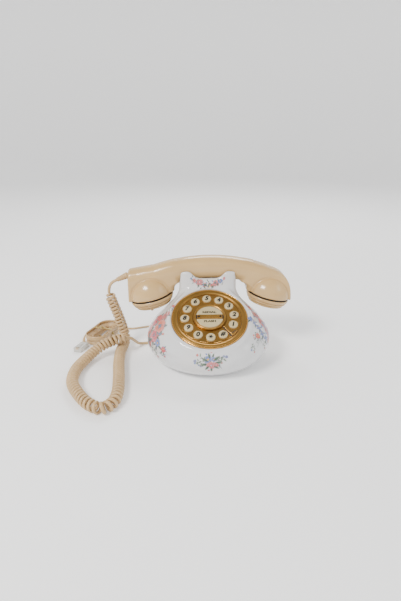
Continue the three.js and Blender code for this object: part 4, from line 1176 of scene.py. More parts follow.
    def scatter(self, count, half_width, half_height, sag):
        """Small leaves and specks of petal, thrown about in a sagging band."""
        for _ in range(count):
            x = self.random.uniform(-1, 1) * half_width
            y = self.random.gauss(0, 0.45) * half_height + sag * x * x - 2
            kind = self.random.random()  # six in ten a leaf, the rest pink and blue specks
            angle, length = self.random.uniform(0, 360), self.random.uniform(2.0, 4.4)
            if kind < 0.62:
                self.leaf(x, y, angle, length, DARK_LEAF, GREY_LEAF if kind < 0.4 else BLUE_LEAF)
            elif kind < 0.82:
                self.bud(x, y, angle, length * 0.7, PINK, PALE_PINK)
            else:
                self.bud(x, y, angle, length * 0.7, BLUE, PALE_BLUE)

    def bud(self, x, y, degrees, length, root, tip):
        self.petal(x, y, degrees - 14, length, length * 0.5, root, tip)
        self.petal(x, y, degrees + 14, length, length * 0.5, root, tip)


def paint_left(brush):
    """Three large roses one over another down the left shoulder, and what trails from them."""
    for degrees, z, radius, root, tip in (
        (-163, 67, 9.0, PINK, PALE_PINK),
        (-171, 58, 10.0, DEEP_PINK, PINK),
        (-156, 57, 10.5, CORAL, PALE_PINK),
        (-171, 44, 10.0, PINK, PALE_PINK),
        (-156, 46, 11.0, DEEP_PINK, PINK),
        (-163, 35, 8.5, DEEP_PINK, PALE_PINK),
    ):
        brush.place_at(("bulb", degrees, z))
        for angle in (35, 110, 170, 230, 290, 340):
            brush.leaf(0, 0, angle + brush.random.uniform(-12, 12), radius * 1.45, BLUE_LEAF, GREY_LEAF)
        brush.rose(0, 0, radius, root, tip)
    brush.place_at(("bulb", -161, 74))
    brush.sprig(0, -2, 75, 9, 25, 2.4, DEEP_PINK, PINK, BLUE_LEAF)
    brush.sprig(2, -2, 35, 8, 20, 1.8, BLUE, PALE_BLUE)
    brush.place_at(("bulb", -147, 50))
    brush.leaf(-5, 0, 20, 9, BLUE_LEAF, PALE_BLUE)
    brush.leaf(-5, -3, -25, 9, DARK_LEAF, GREY_LEAF)
    brush.bud(2, 2, 30, 4, CORAL, PALE_PINK)
    brush.place_at(("bulb", -146, 40))
    brush.leaf(-2, -1, 200, 8, DARK_LEAF, BLUE_LEAF)
    brush.leaf(-1, -2, 265, 9, DARK_LEAF, BLUE_LEAF)
    brush.leaf(1, -1, -20, 8, DARK_LEAF, GREY_LEAF)
    brush.blossom(0, 1, 5.4, BLUE, PALE_BLUE)
    brush.blossom(-4.5, 5, 3.6, BLUE, PALE_BLUE)
    brush.place_at(("bulb", -137, 37))
    brush.scatter(14, 8, 9, 0.0)
    brush.stem(-9, -1, 5, 9, 15, DARK_LEAF, 0.6)
    brush.stem(0, 0, -70, 10, -30, GREY_LEAF)
    brush.stem(-2, 0, -110, 9, 30, GREY_LEAF)
    brush.leaf(-1, -2, -55, 6, DARK_LEAF, GREY_LEAF)
    brush.leaf(-2, -3, -120, 6, DARK_LEAF, GREY_LEAF)
    brush.leaf(1, 1, 60, 5.5, DARK_LEAF, GREY_LEAF)
    brush.blossom(0, 0, 4.2, DEEP_PINK, PINK)
    brush.bud(2.6, -7.5, -60, 3.2, DEEP_PINK, PINK)
    brush.place_at(("bulb", -150, 30))
    brush.sprig(0, 4, -75, 12, 25, 2.4, PINK, PALE_PINK)
    brush.sprig(-4, 4, -100, 10, -25, 1.8, BLUE, PALE_BLUE)


def paint_middle(brush):
    """The bouquet at the front: a blue flower over a rose, with sprigs to both sides."""
    brush.place_at(("bulb", -91, 30))
    brush.scatter(26, 15, 9, 0.0)
    for x, y, angle, length in (
        (-3, 2, 150, 9.5), (-4, -1, 195, 10), (-2, -4, 235, 9), (4, -4, -35, 9),
        (5, 0, 5, 10), (4, 3, 42, 9.5), (1, -7, -85, 8), (-1, 6, 105, 7.5), (2, 6, 70, 7),
    ):
        brush.leaf(x, y, angle, length)
    brush.sprig(-5, 1, 165, 13, 22, 2.3, BLUE, PALE_BLUE)
    brush.sprig(-5, 3, 140, 12, 18, 1.9, PINK, PALE_PINK)
    brush.sprig(6, 1, 12, 14, 22, 2.2, BLUE, PALE_BLUE)
    brush.sprig(6, 2, 40, 11, -20, 1.8, PALE_BLUE, PALE_BLUE)
    brush.sprig(-6, -2, 190, 12, -25, 1.6, PALE_BLUE, PALE_BLUE)
    brush.stem(0, 8, 95, 8, 25, BLUE_LEAF)
    brush.stem(2, 8, 70, 8, -25, GREY_LEAF)
    brush.bud(1, 13.5, 85, 3.2, PINK, PALE_PINK)
    brush.bud(-4.5, 10, 120, 3, BLUE, PALE_BLUE)
    brush.blossom(-3, 4.6, 5.8, BLUE, PALE_BLUE, petals=6)
    brush.blossom(4.2, 4.6, 3.8, BLUE, PALE_BLUE)
    brush.rose(0.8, -3.2, 6.4, DEEP_PINK, PALE_PINK)
    brush.rose(6.6, -2.4, 3.8, PINK, PALE_PINK)
    brush.bud(-2, -10.5, -95, 3.4, DEEP_PINK, PINK)
    brush.bud(1.4, -11, -80, 3, PINK, PALE_PINK)


def paint_right(brush):
    """A pink spray down the right shoulder, a blue ribbon inside it, and a red flower."""
    for degrees, z, radius, root, tip in (
        (2, 69, 6.5, PINK, PALE_PINK), (-8, 63, 8.0, DEEP_PINK, PALE_PINK),
        (-14, 55, 8.5, PINK, PALE_PINK), (-15, 45, 8.0, DEEP_PINK, PINK),
        (-19, 36, 6.0, PINK, PALE_PINK),
    ):
        brush.place_at(("bulb", degrees, z))
        for angle in (60, 170, 250, 330):
            brush.leaf(0, 0, angle + brush.random.uniform(-20, 20), radius * 1.5, BLUE_LEAF, PALE_BLUE)
        brush.rose(0, 0, radius, root, tip)
    for degrees, z in ((-31, 67), (-29, 61), (-28, 54.5), (-29, 48), (-26, 41)):
        brush.place_at(("bulb", degrees, z))
        brush.petal(-2.5, 3, -70, 9, 3.0, BLUE, PALE_BLUE)
        brush.petal(1.5, 2.5, -110, 8.5, 3.4, PALE_BLUE, BLUE)
        brush.leaf(2, 0, -20, 6.5, BLUE_LEAF, PALE_BLUE)
        brush.leaf(-1, 0, 160, 5, BLUE, PALE_BLUE)
        brush.leaf(-1, -2, 215, 6, DARK_LEAF, GREY_LEAF)
        brush.blossom(brush.about(1.0, 0.9), brush.about(1.5, 0.9), 3.4, BLUE, PALE_BLUE)
    brush.place_at(("bulb", -27, 71))
    brush.sprig(0, 0, 95, 8, 25, 1.8, PINK, PALE_PINK)
    brush.place_at(("bulb", -37, 49))
    brush.scatter(14, 8, 9, 0.0)
    for angle in (60, 130, 215, 300):
        brush.leaf(0, 0, angle, 5.6)
    brush.blossom(0, 0, 4.3, DEEP_PINK, CORAL)
    brush.bud(-5.5, 2.5, 150, 3.2, CORAL, PALE_PINK)
    brush.stem(-1, -2, -110, 13, -35, GREY_LEAF)
    brush.stem(0, -2, -80, 14, 20, GREY_LEAF)
    brush.stem(1, -2, -60, 12, 25, BLUE_LEAF)
    brush.place_at(("bulb", -48, 42))
    brush.sprig(2, 3, -145, 9, 30, 1.6, PALE_BLUE, PALE_BLUE)
    brush.sprig(2, 1, -110, 9, 25, 1.5, PINK, PALE_PINK)
    brush.place_at(("bulb", -33, 37))
    brush.sprig(0, 3, -85, 10, 30, 1.7, PINK, PALE_PINK)
    brush.sprig(3, 3, -50, 9, 20, 1.6, PALE_BLUE, PALE_BLUE)


def paint_neck(brush):
    """The garland on the neck, under the dip between the ears."""
    brush.place_at(("neck", 0, 99))
    brush.stem(-18, 5, -40, 12, 25, GREY_LEAF, 0.6)
    brush.stem(18, 5, -140, 12, -25, GREY_LEAF, 0.6)
    brush.stem(-8, -2, -12, 17, 24, DARK_LEAF, 0.6)
    for x, y, angle in (
        (-15, 2, 60), (-13, 0, -80), (-8, -1, 100), (-6, -3, -60), (7, -3, -120), (9, -1, 75),
        (13, 1, -90), (15, 2, 120), (0, -3, 60), (-3, -3, 130), (4, -3, -40),
    ):
        brush.leaf(x, y, angle, 5.2, DARK_LEAF, GREY_LEAF)
    brush.scatter(70, 21, 5.5, 0.018)
    brush.rose(-11.3, 2.0, 5.2, DEEP_PINK, PALE_PINK)
    brush.blossom(-18.3, 4.4, 2.8, PINK, PALE_PINK)
    brush.blossom(-4.6, -2.2, 3.4, PINK, PALE_PINK)
    brush.blossom(0.6, -4.0, 3.0, YELLOW, (0.8, 0.62, 0.3), heart=CORAL)
    brush.blossom(5.4, -2.8, 3.0, DEEP_PINK, PINK)
    brush.rose(10.8, 0.6, 4.6, PINK, PALE_PINK)
    brush.blossom(16.0, 3.6, 3.4, BLUE, PALE_BLUE)
    brush.bud(20.5, 6.5, 40, 3.2, DEEP_PINK, PINK)
    brush.bud(-21.5, 6.6, 140, 3.0, BLUE, PALE_BLUE)


def make_flowers():
    brush = Painting()
    paint_left(brush)
    paint_middle(brush)
    paint_right(brush)
    paint_neck(brush)
    flowers = make_piece(
        "painted_flowers", np.vstack(brush.points) + (BODY_X, 0, 0), brush.faces, [PAINT],
        sharp=180,
    )
    colors = np.clip(np.vstack(brush.colors), 0, 1)
    layer = flowers.data.color_attributes.new("paint", "FLOAT_COLOR", "CORNER")
    corners = np.zeros(len(flowers.data.loops), np.int32)
    flowers.data.loops.foreach_get("vertex_index", corners)
    layer.data.foreach_set("color", np.c_[colors[corners], np.ones(len(corners))].ravel())


# ---- handset ------------------------------------------------------------------------------
HANDSET_HALF_LENGTH = 112
CUP_X = 81.2
CUP_Z = 77.4
CUP_RADIUS = 30.3
CUP_CANT = math.radians(13)
THROAT_X = 49
THROAT_ROUND = 9
MOUTH_END_Z = 113
EAR_END_X = 111
EAR_END_POWER = 2.7  # of the hood's rounding over the earpiece
EAR_ROUNDING_X = CUP_X - 22  # where that rounding starts
EAR_ROUNDING_DROP = 8  # and how far below the cup's middle
MOUTH_STRAIGHT_X = 5 - CUP_X  # beyond it the top runs straight to the mouth end
HOOD_SOFTNESS = 11
MOUTH_END_SOFTNESS = 3.0
HANDSET_WALL = 2.8
CREASE_DEPTH = 0.8
CREASE_REACH = 1.3
HANDSET_CELL, HANDSET_QUICK_CELL = 1.0, 1.6
RELIEF_HOLE_RADIUS = 3.2
RELIEF_HOLE_END_X = -100
CAP_DEPTH = 14.8
CAP_END_RADIUS = 20
CAP_NECK_RADIUS = CUP_RADIUS - HANDSET_WALL - 1.3


def grip_top(x):
    rise = np.sqrt(GRIP_TOP_RADIUS**2 - np.minimum(np.abs(x), 150) ** 2)
    return GRIP_TOP_Z - GRIP_TOP_RADIUS + rise


def hood_distance(p, wall):
    """The grip and its two hoods, with the middle of the handset at y 0."""
    x = p[:, 0]
    reach = np.abs(x)
    start = float(grip_top(MOUTH_STRAIGHT_X))
    share = (MOUTH_STRAIGHT_X - x) / (HANDSET_HALF_LENGTH + MOUTH_STRAIGHT_X)
    straight = start + (MOUTH_END_Z - start) * np.clip(share, 0, 1.2)
    top = np.where(x < MOUTH_STRAIGHT_X, straight, grip_top(x))
    under = grip_underside(x)
    half_depth = GRIP_HALF_DEPTH - wall
    across = np.abs(p[:, 1]) / half_depth
    half_height = np.maximum((top - under) / 2 - wall, 1)
    above = (p[:, 2] - (top + under) / 2) / half_height
    grip = squarish(across, np.abs(above), half_depth)
    hood = squarish(across, np.maximum(above, 0), half_depth)
    into_fillet = np.clip(p[:, 2] - under + THROAT_ROUND, 0, THROAT_ROUND * 0.999)
    fillet = THROAT_ROUND - np.sqrt(THROAT_ROUND**2 - into_fillet**2)
    hood = smooth_max(hood, THROAT_X + wall - fillet - reach, HOOD_SOFTNESS - 2 * wall)
    shape = smooth_min(grip, hood, 1.5)
    shape = smooth_max(shape, -HANDSET_HALF_LENGTH + wall - x, MOUTH_END_SOFTNESS)
    length = EAR_END_X - wall - EAR_ROUNDING_X
    out = np.maximum(x - EAR_ROUNDING_X, 0) / length
    high = grip_top(np.minimum(x, CUP_X)) - wall
    level = CUP_Z - EAR_ROUNDING_DROP
    up = np.maximum(p[:, 2] - level, 0) / np.maximum(high - level, 1)
    ear = (super_reach(out, up, EAR_END_POWER) - 1) * length
    return np.where(x > EAR_ROUNDING_X, smooth_max(shape, ear, 3), shape)


def above_seam(p):
    """How far points are above the plane of the nearer cup's seam."""
    out, up = np.abs(p[:, 0]) - CUP_X, p[:, 2] - CUP_Z
    return out * math.sin(CUP_CANT) + up * math.cos(CUP_CANT)


def dome_distance(p, radius):
    return np.sqrt((np.abs(p[:, 0]) - CUP_X) ** 2 + p[:, 1] ** 2 + (p[:, 2] - CUP_Z) ** 2) - radius


def handset_distance(p):
    hood, dome = hood_distance(p, 0), dome_distance(p, CUP_RADIUS)
    groove = CREASE_DEPTH * np.exp(-(hood**2 + dome**2) / CREASE_REACH**2)
    outside = np.minimum(hood, dome) + groove
    inner_dome = dome_distance(p, CUP_RADIUS - HANDSET_WALL)
    inside = np.minimum(hood_distance(p, HANDSET_WALL), inner_dome)
    shape = smooth_max(outside, -above_seam(p), 1.2)
    shape = np.maximum(shape, -inside)
    way = np.array(RELIEF_DIRECTION, float) / np.linalg.norm(RELIEF_DIRECTION)
    root = (RELIEF_ROOT[0], 0, RELIEF_ROOT[2])
    hole = tube_distance(p, root, way, RELIEF_HOLE_RADIUS)
    return np.maximum(shape, -np.maximum(hole, p[:, 0] - RELIEF_HOLE_END_X))


def make_handset():
    cell = HANDSET_CELL
    low = (-HANDSET_HALF_LENGTH - 3, -CUP_RADIUS - 3, CUP_Z - 12)
    high = (HANDSET_HALF_LENGTH + 3, CUP_RADIUS + 3, GRIP_TOP_Z + 3)
    points, faces = implicit_mesh(handset_distance, low, high, cell)
    make_piece(
        "handset_shell", points + (0, NECK_Y, 0), faces.tolist(), [ALMOND_PLASTIC], body=HANDSET,
        nodes=("handset_body",), sharp=180,
    )


def under_cup(side):
    """Moves points made below a level seam to a cup's own canted seam."""
    a = side * CUP_CANT
    turn = np.array([[math.cos(a), 0, -math.sin(a)], [0, 1, 0], [math.sin(a), 0, math.cos(a)]])
    return lambda p: np.asarray(p) @ turn + (side * CUP_X, NECK_Y, CUP_Z)


def cap_outline():
    """A screw cap's section: end disc, three stepped ridges, the groove that make_cap paints with
    shade, and its neck.
    """
    end, neck = CAP_END_RADIUS, CAP_NECK_RADIUS
    outline = [(0, -CAP_DEPTH), (end - 3.5, -CAP_DEPTH), (end, -CAP_DEPTH + 0.9)]
    outline += [(24.8, -14.0), (25.6, -11.4), (24.7, -10.9), (27.6, -10.1), (28.4, -7.8)]
    outline += [(27.4, -7.3), (29.5, -6.4), (30.1, -3.6), (29.3, -2.3), (27.6, -2.0)]
    outline += [(neck + 0.2, -1.4), (neck, -0.6), (neck, 4), (neck - 2.4, 4)]
    outline += [(neck - 2.4, -3.5), (end - 1, -12.4), (0, -12.4)]
    return outline


def make_cap(side, name, node, with_lug):
    outline = cap_outline()
    section = rounded(outline, 0.55, 3, keep=(0, len(outline) - 1))
    # The groove's faces take the near-black material: painted shade in the seam.
    in_groove = [r < 29.6 and z > -2.6 for r, z in section]
    kinds = [1 if dark else 0 for dark in in_groove]
    shape = lathe(Shape(), section, 96, kinds=kinds, closed=False)
    # The sound holes are shallow dark discs on the end: painted shade in place of holes.
    low, high = -CAP_DEPTH - 0.02, -CAP_DEPTH + 0.3
    hole = lathe(Shape(), [(0, low), (0.95, low), (1.15, high), (0, high)], 12, closed=False)
    for ring_radius, count in ((5.5, 6), (11.0, 12)):
        for i in range(count):
            angle = 2 * math.pi * i / count
            place = (ring_radius * math.cos(angle), ring_radius * math.sin(angle), 0)
            shape.add(hole.points + place, hole.faces, 1)
    if with_lug:
        lug = [(0, -18.2), (1.5, -18.0), (2.5, -15.2), (3.0, -12.5), (0, -12.5)]
        made = lathe(Shape(), rounded(lug, 0.5, 2, keep=(0, 4)), 16, closed=False)
        shape.add(made.points + (-2.5, -CAP_END_RADIUS + 3.6, 0), made.faces, 0)
    shape.moved(under_cup(side))
    materials = [ALMOND_PLASTIC, PAINTED_SHADE]
    shape_piece(shape, name, materials, node, HANDSET, 50)


# ---- dial ---------------------------------------------------------------------------------
BEZEL_INNER_RADIUS = 41.2
DIAL_TOP = 2.4
DIAL_PLATE_THICKNESS = 1.4
KEY_RADIUS = 5.8
KEY_TOP = DIAL_TOP + 2.1
CENTER_RADIUS = 20.7
CENTER_INNER = 17.6
CENTER_TOP = 5.4
BAR_HALF = 3.2
CENTER_SCREW_X = 15.2
SCREW_X = CENTER_SCREW_X - 1.6
KEY_STEM = [(0, -5.4), (2.4, -5.4), (2.4, -2), (0, -2)]
KEY_NAMES = [*"1234567890", "star", "hash"]


def arc(radius, start, end, steps=24, x=0.0, y=0.0):
    angle = np.radians(np.linspace(start, end, steps))
    return np.stack([x + radius * np.cos(angle), y + radius * np.sin(angle)], 1)


def ring_loop(radius, x=0.0, y=0.0, steps=72):
    return arc(radius, 0, 360, steps + 1, x, y)[:-1]


def half_moon(radius, chord, side, steps=40):
    start = math.degrees(math.asin(chord / radius))
    if side > 0:
        return arc(radius, start, 180 - start, steps)
    return arc(radius, 180 + start, 360 - start, steps)


def plate(shape, loops, low, high, bevel, kind=0):
    """Adds a flat plate with holes: the first loop is its edge. Its rims are bevelled."""
    curve = bpy.data.curves.new("plate", "CURVE")
    curve.dimensions = "2D"
    curve.fill_mode = "BOTH"
    curve.extrude = (high - low) / 2 - bevel
    curve.bevel_depth = bevel
    curve.bevel_resolution = 2
    curve.offset = -bevel
    for loop in loops:
        spline = curve.splines.new("POLY")
        spline.points.add(len(loop) - 1)
        for point, (x, y) in zip(spline.points, loop):
            point.co = (x, y, 0, 1)
        spline.use_cyclic_u = True
    return add_evaluated(shape, curve, (0, 0, (low + high) / 2), kind)


def add_evaluated(shape, data, place, kind):
    """Adds a curve's or text's own mesh, moved to a place."""
    thing = bpy.data.objects.new("made", data)
    bpy.context.scene.collection.objects.link(thing)
    bpy.context.view_layer.update()
    evaluated = thing.evaluated_get(bpy.context.evaluated_depsgraph_get())
    mesh = bpy.data.meshes.new_from_object(evaluated)
    points = np.array([v.co for v in mesh.vertices], float).reshape(-1, 3)
    faces = [list(f.vertices) for f in mesh.polygons]
    bpy.data.objects.remove(thing)
    bpy.data.meshes.remove(mesh)
    return shape.add(points + np.array(place, float), faces, kind)


def lettering(shape, text, size, place, kind, slant=0.22, weight=0.02, stretch=1.0):
    """Adds raised letters, centred on a place."""
    curve = bpy.data.curves.new("letters", "FONT")
    curve.body = text
    curve.size = size
    curve.shear = slant
    curve.offset = weight * size
    curve.extrude = 0.09
    curve.resolution_u = 4
    curve.align_x = "CENTER"
    curve.align_y = "CENTER"
    made = add_evaluated(Shape(), curve, (0, 0, 0), kind)
    low, high = made.points.min(0), made.points.max(0)
    made.points -= ((low + high) / 2) * (1, 1, 0)
    made.points *= (stretch, 1, 1)
    return shape.add(made.points + np.array(place, float), made.faces, kind)


def dial_piece(shape, name, materials, node, body=ROOT, sharp=35):
    shape_piece(shape.moved(on_dial), name, materials, node, body, sharp)


def make_bezel():
    inner, outer = BEZEL_INNER_RADIUS, BEZEL_RADIUS
    outline = [
        (inner, -6), (inner + 3, -6), (inner + 3, 0.3), (outer, 0.3), (outer, 1.9),
        (outer - 0.7, 3.0), (outer - 1.9, 3.35), (outer - 2.2, 2.95), (outer - 2.7, 2.95),
        (outer - 3.0, 3.5), (inner + 1.9, 3.2), (inner + 0.9, 2.8), (inner, 2.45),
    ]
    section = rounded(outline, 0.3, 3)
    # The bezel's outer rim takes the lighter gold: a painted highlight.
    kinds = [1 if r > outer - 2.0 and z > 0.2 else 0 for r, z in section]
    shape = lathe(Shape(), section, 128, kinds=kinds)
    dial_piece(shape, "gold_bezel", [GOLD, HIGHLIGHT_GOLD], "dial_bezel", sharp=45)


def make_dial_plate(key_places):
    shape = Shape()
    holes = [ring_loop(KEY_RADIUS + 0.4, x, y, 40) for x, y in key_places]
    loops = [ring_loop(BEZEL_INNER_RADIUS - 0.4, steps=128), *holes, ring_loop(CENTER_INNER + 0.5)]
    plate(shape, loops, DIAL_TOP - DIAL_PLATE_THICKNESS, DIAL_TOP, 0.12)
    # A raised ring round each key hole, in the lighter gold: a painted highlight.
    collar = [(6.25, 2.3), (6.95, 2.3), (6.85, 2.62), (6.6, 2.72), (6.35, 2.62)]
    made = lathe(Shape(), collar, 40)
    for x, y in key_places:
        shape.add(made.points + (x, y, 0), made.faces, 1)
    # A ridge inside the bezel, in the lighter gold: a painted highlight.
    ridge = [(39.3, 2.3), (40.1, 2.3), (40.0, 2.62), (39.7, 2.72), (39.4, 2.62)]
    lathe(shape, ridge, 128, kinds=[1] * 5)
    # Two dark rings, inside the bezel and round the raised centre ring: painted shade at those edges.
    for inner, outer, top, sides in ((38.8, 39.2, 2.42, 128), (21.3, 21.9, 2.43, 96)):
        line = [(inner, 2.3), (outer, 2.3), (outer, top), (inner, top)]
        lathe(shape, line, sides, kinds=[2] * 4)
    dial_piece(shape, "gold_dial_plate", [GOLD, HIGHLIGHT_GOLD, SHADE_GOLD], "dial_plate")


def make_key(name, x, y):
    """A round push key: a stem and flange below, a rounded cap with its figure on top."""
    r, top = KEY_RADIUS, KEY_TOP
    outline = [(0, -5.4), (2.4, -5.4), (2.4, -2.6), (r + 1.2, -2.6), (r + 1.2, 0.6), (r, 0.6)]
    outline += [(r, top - 0.9), (r - 0.25, top - 0.35), (r - 0.8, top - 0.02)]
    outline += [(r - 2.2, top + 0.12), (0, top + 0.16)]
    shape = lathe(Shape(), rounded(outline, 0.25, 2, keep=(0, 10)), 40, closed=False)
    if name == "star":
        arm = np.array([(-2.9, -0.55), (2.9, -0.55), (2.9, 0.55), (-2.9, 0.55)])
        for turn in (0, math.pi / 3, 2 * math.pi / 3):
            c, s = math.cos(turn), math.sin(turn)
            turned = arm[:, :1] * np.array([c, s]) + arm[:, 1:] * np.array([-s, c])
            prism(shape, turned, top, top + 0.25 + 0.01 * turn, 1)
    else:
        size = 8.6 if name == "hash" else 9.0
        figure = "#" if name == "hash" else name
        lettering(shape, figure, size, (0, 0, top + 0.17), 1, weight=0.05)
    shape.moved(lambda p: p + (x, y, 0))
    node = body = f"key_{name}"
    dial_piece(shape, f"push_{node}", [KEY_PLASTIC, INK_AND_SHADE], node, body, 45)


def make_moon_key(side, name, word, node, body):
    shape = Shape()
    flange = half_moon(CENTER_INNER + 0.8, BAR_HALF - 0.6, side)
    plate(shape, [flange], -2.6, 0.6, 0.2)
    cap = half_moon(CENTER_INNER - 0.35, BAR_HALF + 0.35, side)
    plate(shape, [cap], 0.4, CENTER_TOP - 0.6, 0.45)
    stem = lathe(Shape(), KEY_STEM, 24, closed=False)
    shape.add(stem.points + (0, side * CENTER_INNER * 0.55, 0), stem.faces)
    lettering(
        shape, word, 4.2, (0, side * (BAR_HALF + 4.2), CENTER_TOP - 0.57), 1,
        slant=0.0, weight=0.045, stretch=1.3,
    )
    dial_piece(shape, name, [KEY_PLASTIC, INK_AND_SHADE], node, body)


def make_center_ring():
    """The raised ring with its bar, a slot at each end of the bar, and a rounded lip."""
    shape = Shape()
    slots = []
    for start in (-10.5, 169.5):
        outer, inner = arc(16.6, start, start + 21, 8), arc(16.0, start + 21, start, 8)
        slots.append(np.vstack([outer, inner]))
    holes = [half_moon(CENTER_INNER, BAR_HALF, side) for side in (1, -1)]
    loops = [ring_loop(CENTER_RADIUS, steps=96), *holes, *slots]
    plate(shape, loops, DIAL_TOP + 0.3, CENTER_TOP - 0.5, 0.15)
    inner, outer = CENTER_INNER, CENTER_RADIUS
    lip = [(inner + 0.1, 3.2), (outer, 3.2), (outer, 4.3), (outer - 0.5, 5.1), (outer - 1.4, 5.4)]
    lip += [(inner + 0.9, 5.2), (inner + 0.1, 4.7)]
    lathe(shape, rounded(lip, 0.3, 2), 96)
    half_length, half_width = 15.7, BAR_HALF - 0.15
    bar = [(-half_length, -half_width), (half_length, -half_width)]
    bar += [(half_length, half_width), (-half_length, half_width)]
    # The bar is in the lighter gold: a painted highlight.
    prism(shape, bar, CENTER_TOP - 0.6, CENTER_TOP + 0.05, 1, 0.35)
    # Dark arcs at the bar's ends, in the black: painted shade in the slots there.
    for side in (-1, 1):
        outline = np.vstack([arc(17.3, -9.5, 9.5, 10), arc(16.3, 9.5, -9.5, 10)]) * (side, 1)
        if side < 0:
            outline = outline[::-1]
        prism(shape, outline, CENTER_TOP - 0.55, CENTER_TOP - 0.3, 3)
    materials = [GOLD, HIGHLIGHT_GOLD, SHADE_GOLD, INK_AND_SHADE]
    dial_piece(shape, "gold_center_ring", materials, "center_ring", sharp=30)


def make_dial_screws():
    for number, side in ((1, -1), (2, 1)):
        shape = Shape()
        lathe(shape, [(0, -5), (0.9, -5), (0.9, 4.9), (0, 4.9)], 16, closed=False)
        head = [(0, 4.6), (1.45, 4.6), (1.45, 5.55), (1.1, 5.75), (0, 5.8)]
        lathe(shape, rounded(head, 0.15, 2, keep=(0, 4)), 24, closed=False)
        shape.moved(lambda p: p + (side * SCREW_X, 0, 0))
        # The slot is a thin black bar on the head: painted shade standing in for a cut slot.
        slot = np.array([(-1.2, -0.18), (1.2, -0.18), (1.2, 0.18), (-1.2, 0.18)])
        prism(shape, slot + (side * SCREW_X, 0), 5.7, 5.83, 1)
        node = f"dial_screw_{number}"
        dial_piece(shape, f"dark_screw_{number}", [DARK_STEEL, INK_AND_SHADE], node)


def make_finger_stop():
    """A thin blade, hooked back at its outer end, in highlight gold over a dark bed that is painted
    shadow.
    """
    def about_dial(corners):
        return [(r * math.cos(math.radians(a)), r * math.sin(math.radians(a))) for r, a in corners]

    blade = [(21.6, -38.6), (21.6, -41.8), (39.4, -47.0), (40.2, -45.2), (39.9, -34.6)]
    blade += [(38.0, -35.4), (37.6, -43.6)]
    bed = [(21.5, -37.0), (21.5, -45.2), (39.2, -50.4), (40.7, -47.4), (40.7, -32.6)]
    bed += [(36.9, -33.6), (36.0, -42.0)]
    shape = Shape()
    # The bed is a little wider than the blade: its painted shadow.
    prism(shape, about_dial(bed), DIAL_TOP - 0.05, DIAL_TOP + 0.14, 1)
    prism(shape, about_dial(blade), DIAL_TOP + 0.1, DIAL_TOP + 1.2, 0, 0.3)
    materials = [HIGHLIGHT_GOLD, PAINTED_SHADE]
    dial_piece(shape, "finger_stop_blade", materials, "finger_stop", sharp=25)


def make_dial():
    key_places = [dial_middle(f"key_{name}")[:2] for name in KEY_NAMES]
    origin_right, origin_up, _ = DIAL_AXES @ DIAL_ORIGIN
    key_places = [(x - origin_right, y - origin_up) for x, y in key_places]
    make_bezel()
    make_dial_plate(key_places)
    for name, (x, y) in zip(KEY_NAMES, key_places):
        make_key(name, x, y)
    make_moon_key(1, "redial_moon", "REDIAL", "redial_key", "redial")
    make_moon_key(-1, "flash_moon", "FLASH", "flash_key", "flash")
    make_center_ring()
    make_dial_screws()
    make_finger_stop()


# ---- carried-over nodes -------------------------------------------------------------------
CARRIED = {
    "base_plate": GREY_PLASTIC,
    "main_board": BOARD,
    "ringer": BLACK_PLASTIC,
    "ringer_switch": BLACK_PLASTIC,
    "tone_pulse_switch": BLACK_PLASTIC,
    "key_carrier": GREY_PLASTIC,
    "key_mat": RUBBER,
    "keypad_board": BOARD,
    "hook_plunger": GREY_PLASTIC,
    "hook_spring": STEEL,
    "hook_bracket": GREY_PLASTIC,
    "hook_switch": BLACK_PLASTIC,
    "microphone_capsule": BLACK_PLASTIC,
    "receiver_capsule": BLACK_PLASTIC,
    "handset_weight": STEEL,
}


def dress_carried_nodes():
    for number in range(1, 5):
        CARRIED[f"foot_{number}"] = RUBBER
        CARRIED[f"base_screw_{number}"] = STEEL
    for node, material in CARRIED.items():
        thing = frame["nodes"][node]
        thing.data.materials.clear()
        thing.data.materials.append(material)


# ---- stage --------------------------------------------------------------------------------
PAPER_GLOW = 0.2
WORLD_STRENGTH = 0.5
LIGHTS_AIM = (0, 0, 0.06)


def stage_material():
    material, tree, shader = new_material("backdrop_paper", (0.93, 0.93, 0.93), 0.9)
    tint(tree, shader, noise(tree, 3, 2), [(0.3, (0.925,) * 3), (0.7, (0.935,) * 3)])
    shader.inputs["Specular IOR Level"].default_value = 0.1
    shader.inputs["Emission Color"].default_value = (1.0, 1.0, 1.0, 1)
    shader.inputs["Emission Strength"].default_value = PAPER_GLOW
    return material


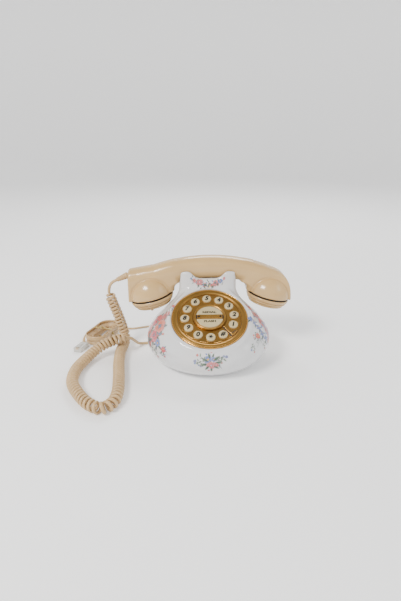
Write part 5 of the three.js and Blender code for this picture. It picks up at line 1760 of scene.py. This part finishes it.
def make_stage():
    """A round pale floor that curves up into a wall all the way round, in metres."""
    flat_radius, bend_radius, wall_height = 2.2, 0.8, 4.0
    bend = np.linspace(0.1, math.pi / 2, 14)
    profile = [(0, 0), (1.0, 0), (flat_radius, 0)]
    profile += [
        (flat_radius + bend_radius * math.sin(a), bend_radius - bend_radius * math.cos(a)) for a in bend
    ]
    profile.append((flat_radius + bend_radius, wall_height))
    outline = [(r / MM, z / MM) for r, z in reversed(profile)]
    room = lathe(Shape(), outline, 96, closed=False)
    materials = [stage_material()]
    make_piece("studio_floor", room.points, room.faces, materials, None, sharp=180)


def area_light(name, place, size, power, color=(1, 1, 1)):
    data = bpy.data.lights.new(name, "AREA")
    data.shape = "RECTANGLE"
    data.size, data.size_y = size
    data.energy = power
    data.color = color
    light = bpy.data.objects.new(name, data)
    light.location = place
    ahead = Vector(LIGHTS_AIM) - Vector(place)
    light.rotation_euler = ahead.to_track_quat("-Z", "Y").to_euler()
    bpy.context.scene.collection.objects.link(light)


def make_lights():
    world = bpy.data.worlds.new("studio")
    world.use_nodes = True
    background = world.node_tree.nodes["Background"]
    background.inputs["Color"].default_value = (1.0, 1.0, 1.0, 1)
    background.inputs["Strength"].default_value = WORLD_STRENGTH
    bpy.context.scene.world = world
    area_light("key_softbox", (-0.9, -0.9, 1.3), (0.6, 0.4), 32, (1, 0.985, 0.96))
    area_light("fill_softbox", (1.3, -0.7, 0.9), (0.5, 0.8), 3, (0.97, 0.985, 1))
    area_light("rear_softbox", (0.2, 1.2, 1.2), (0.9, 0.5), 14)


# ---- everything ---------------------------------------------------------------------------
def build():
    make_camera()
    relief = make_strain_relief()
    handset_bush = make_bush("handset_cord_bush", "handset_cord_stopper")
    line_bush = make_bush("line_cord_bush", "line_cord_stopper")
    make_curly_cord()
    plug = make_line_plug()
    make_line_cord()
    make_hank_tie()
    make_porcelain()
    make_flowers()
    make_handset()
    make_cap(-1, "mouthpiece_cap", "mouth_cap", True)
    make_cap(1, "earpiece_cap", "ear_cap", False)
    make_dial()
    dress_carried_nodes()
    make_stage()
    make_lights()


build()
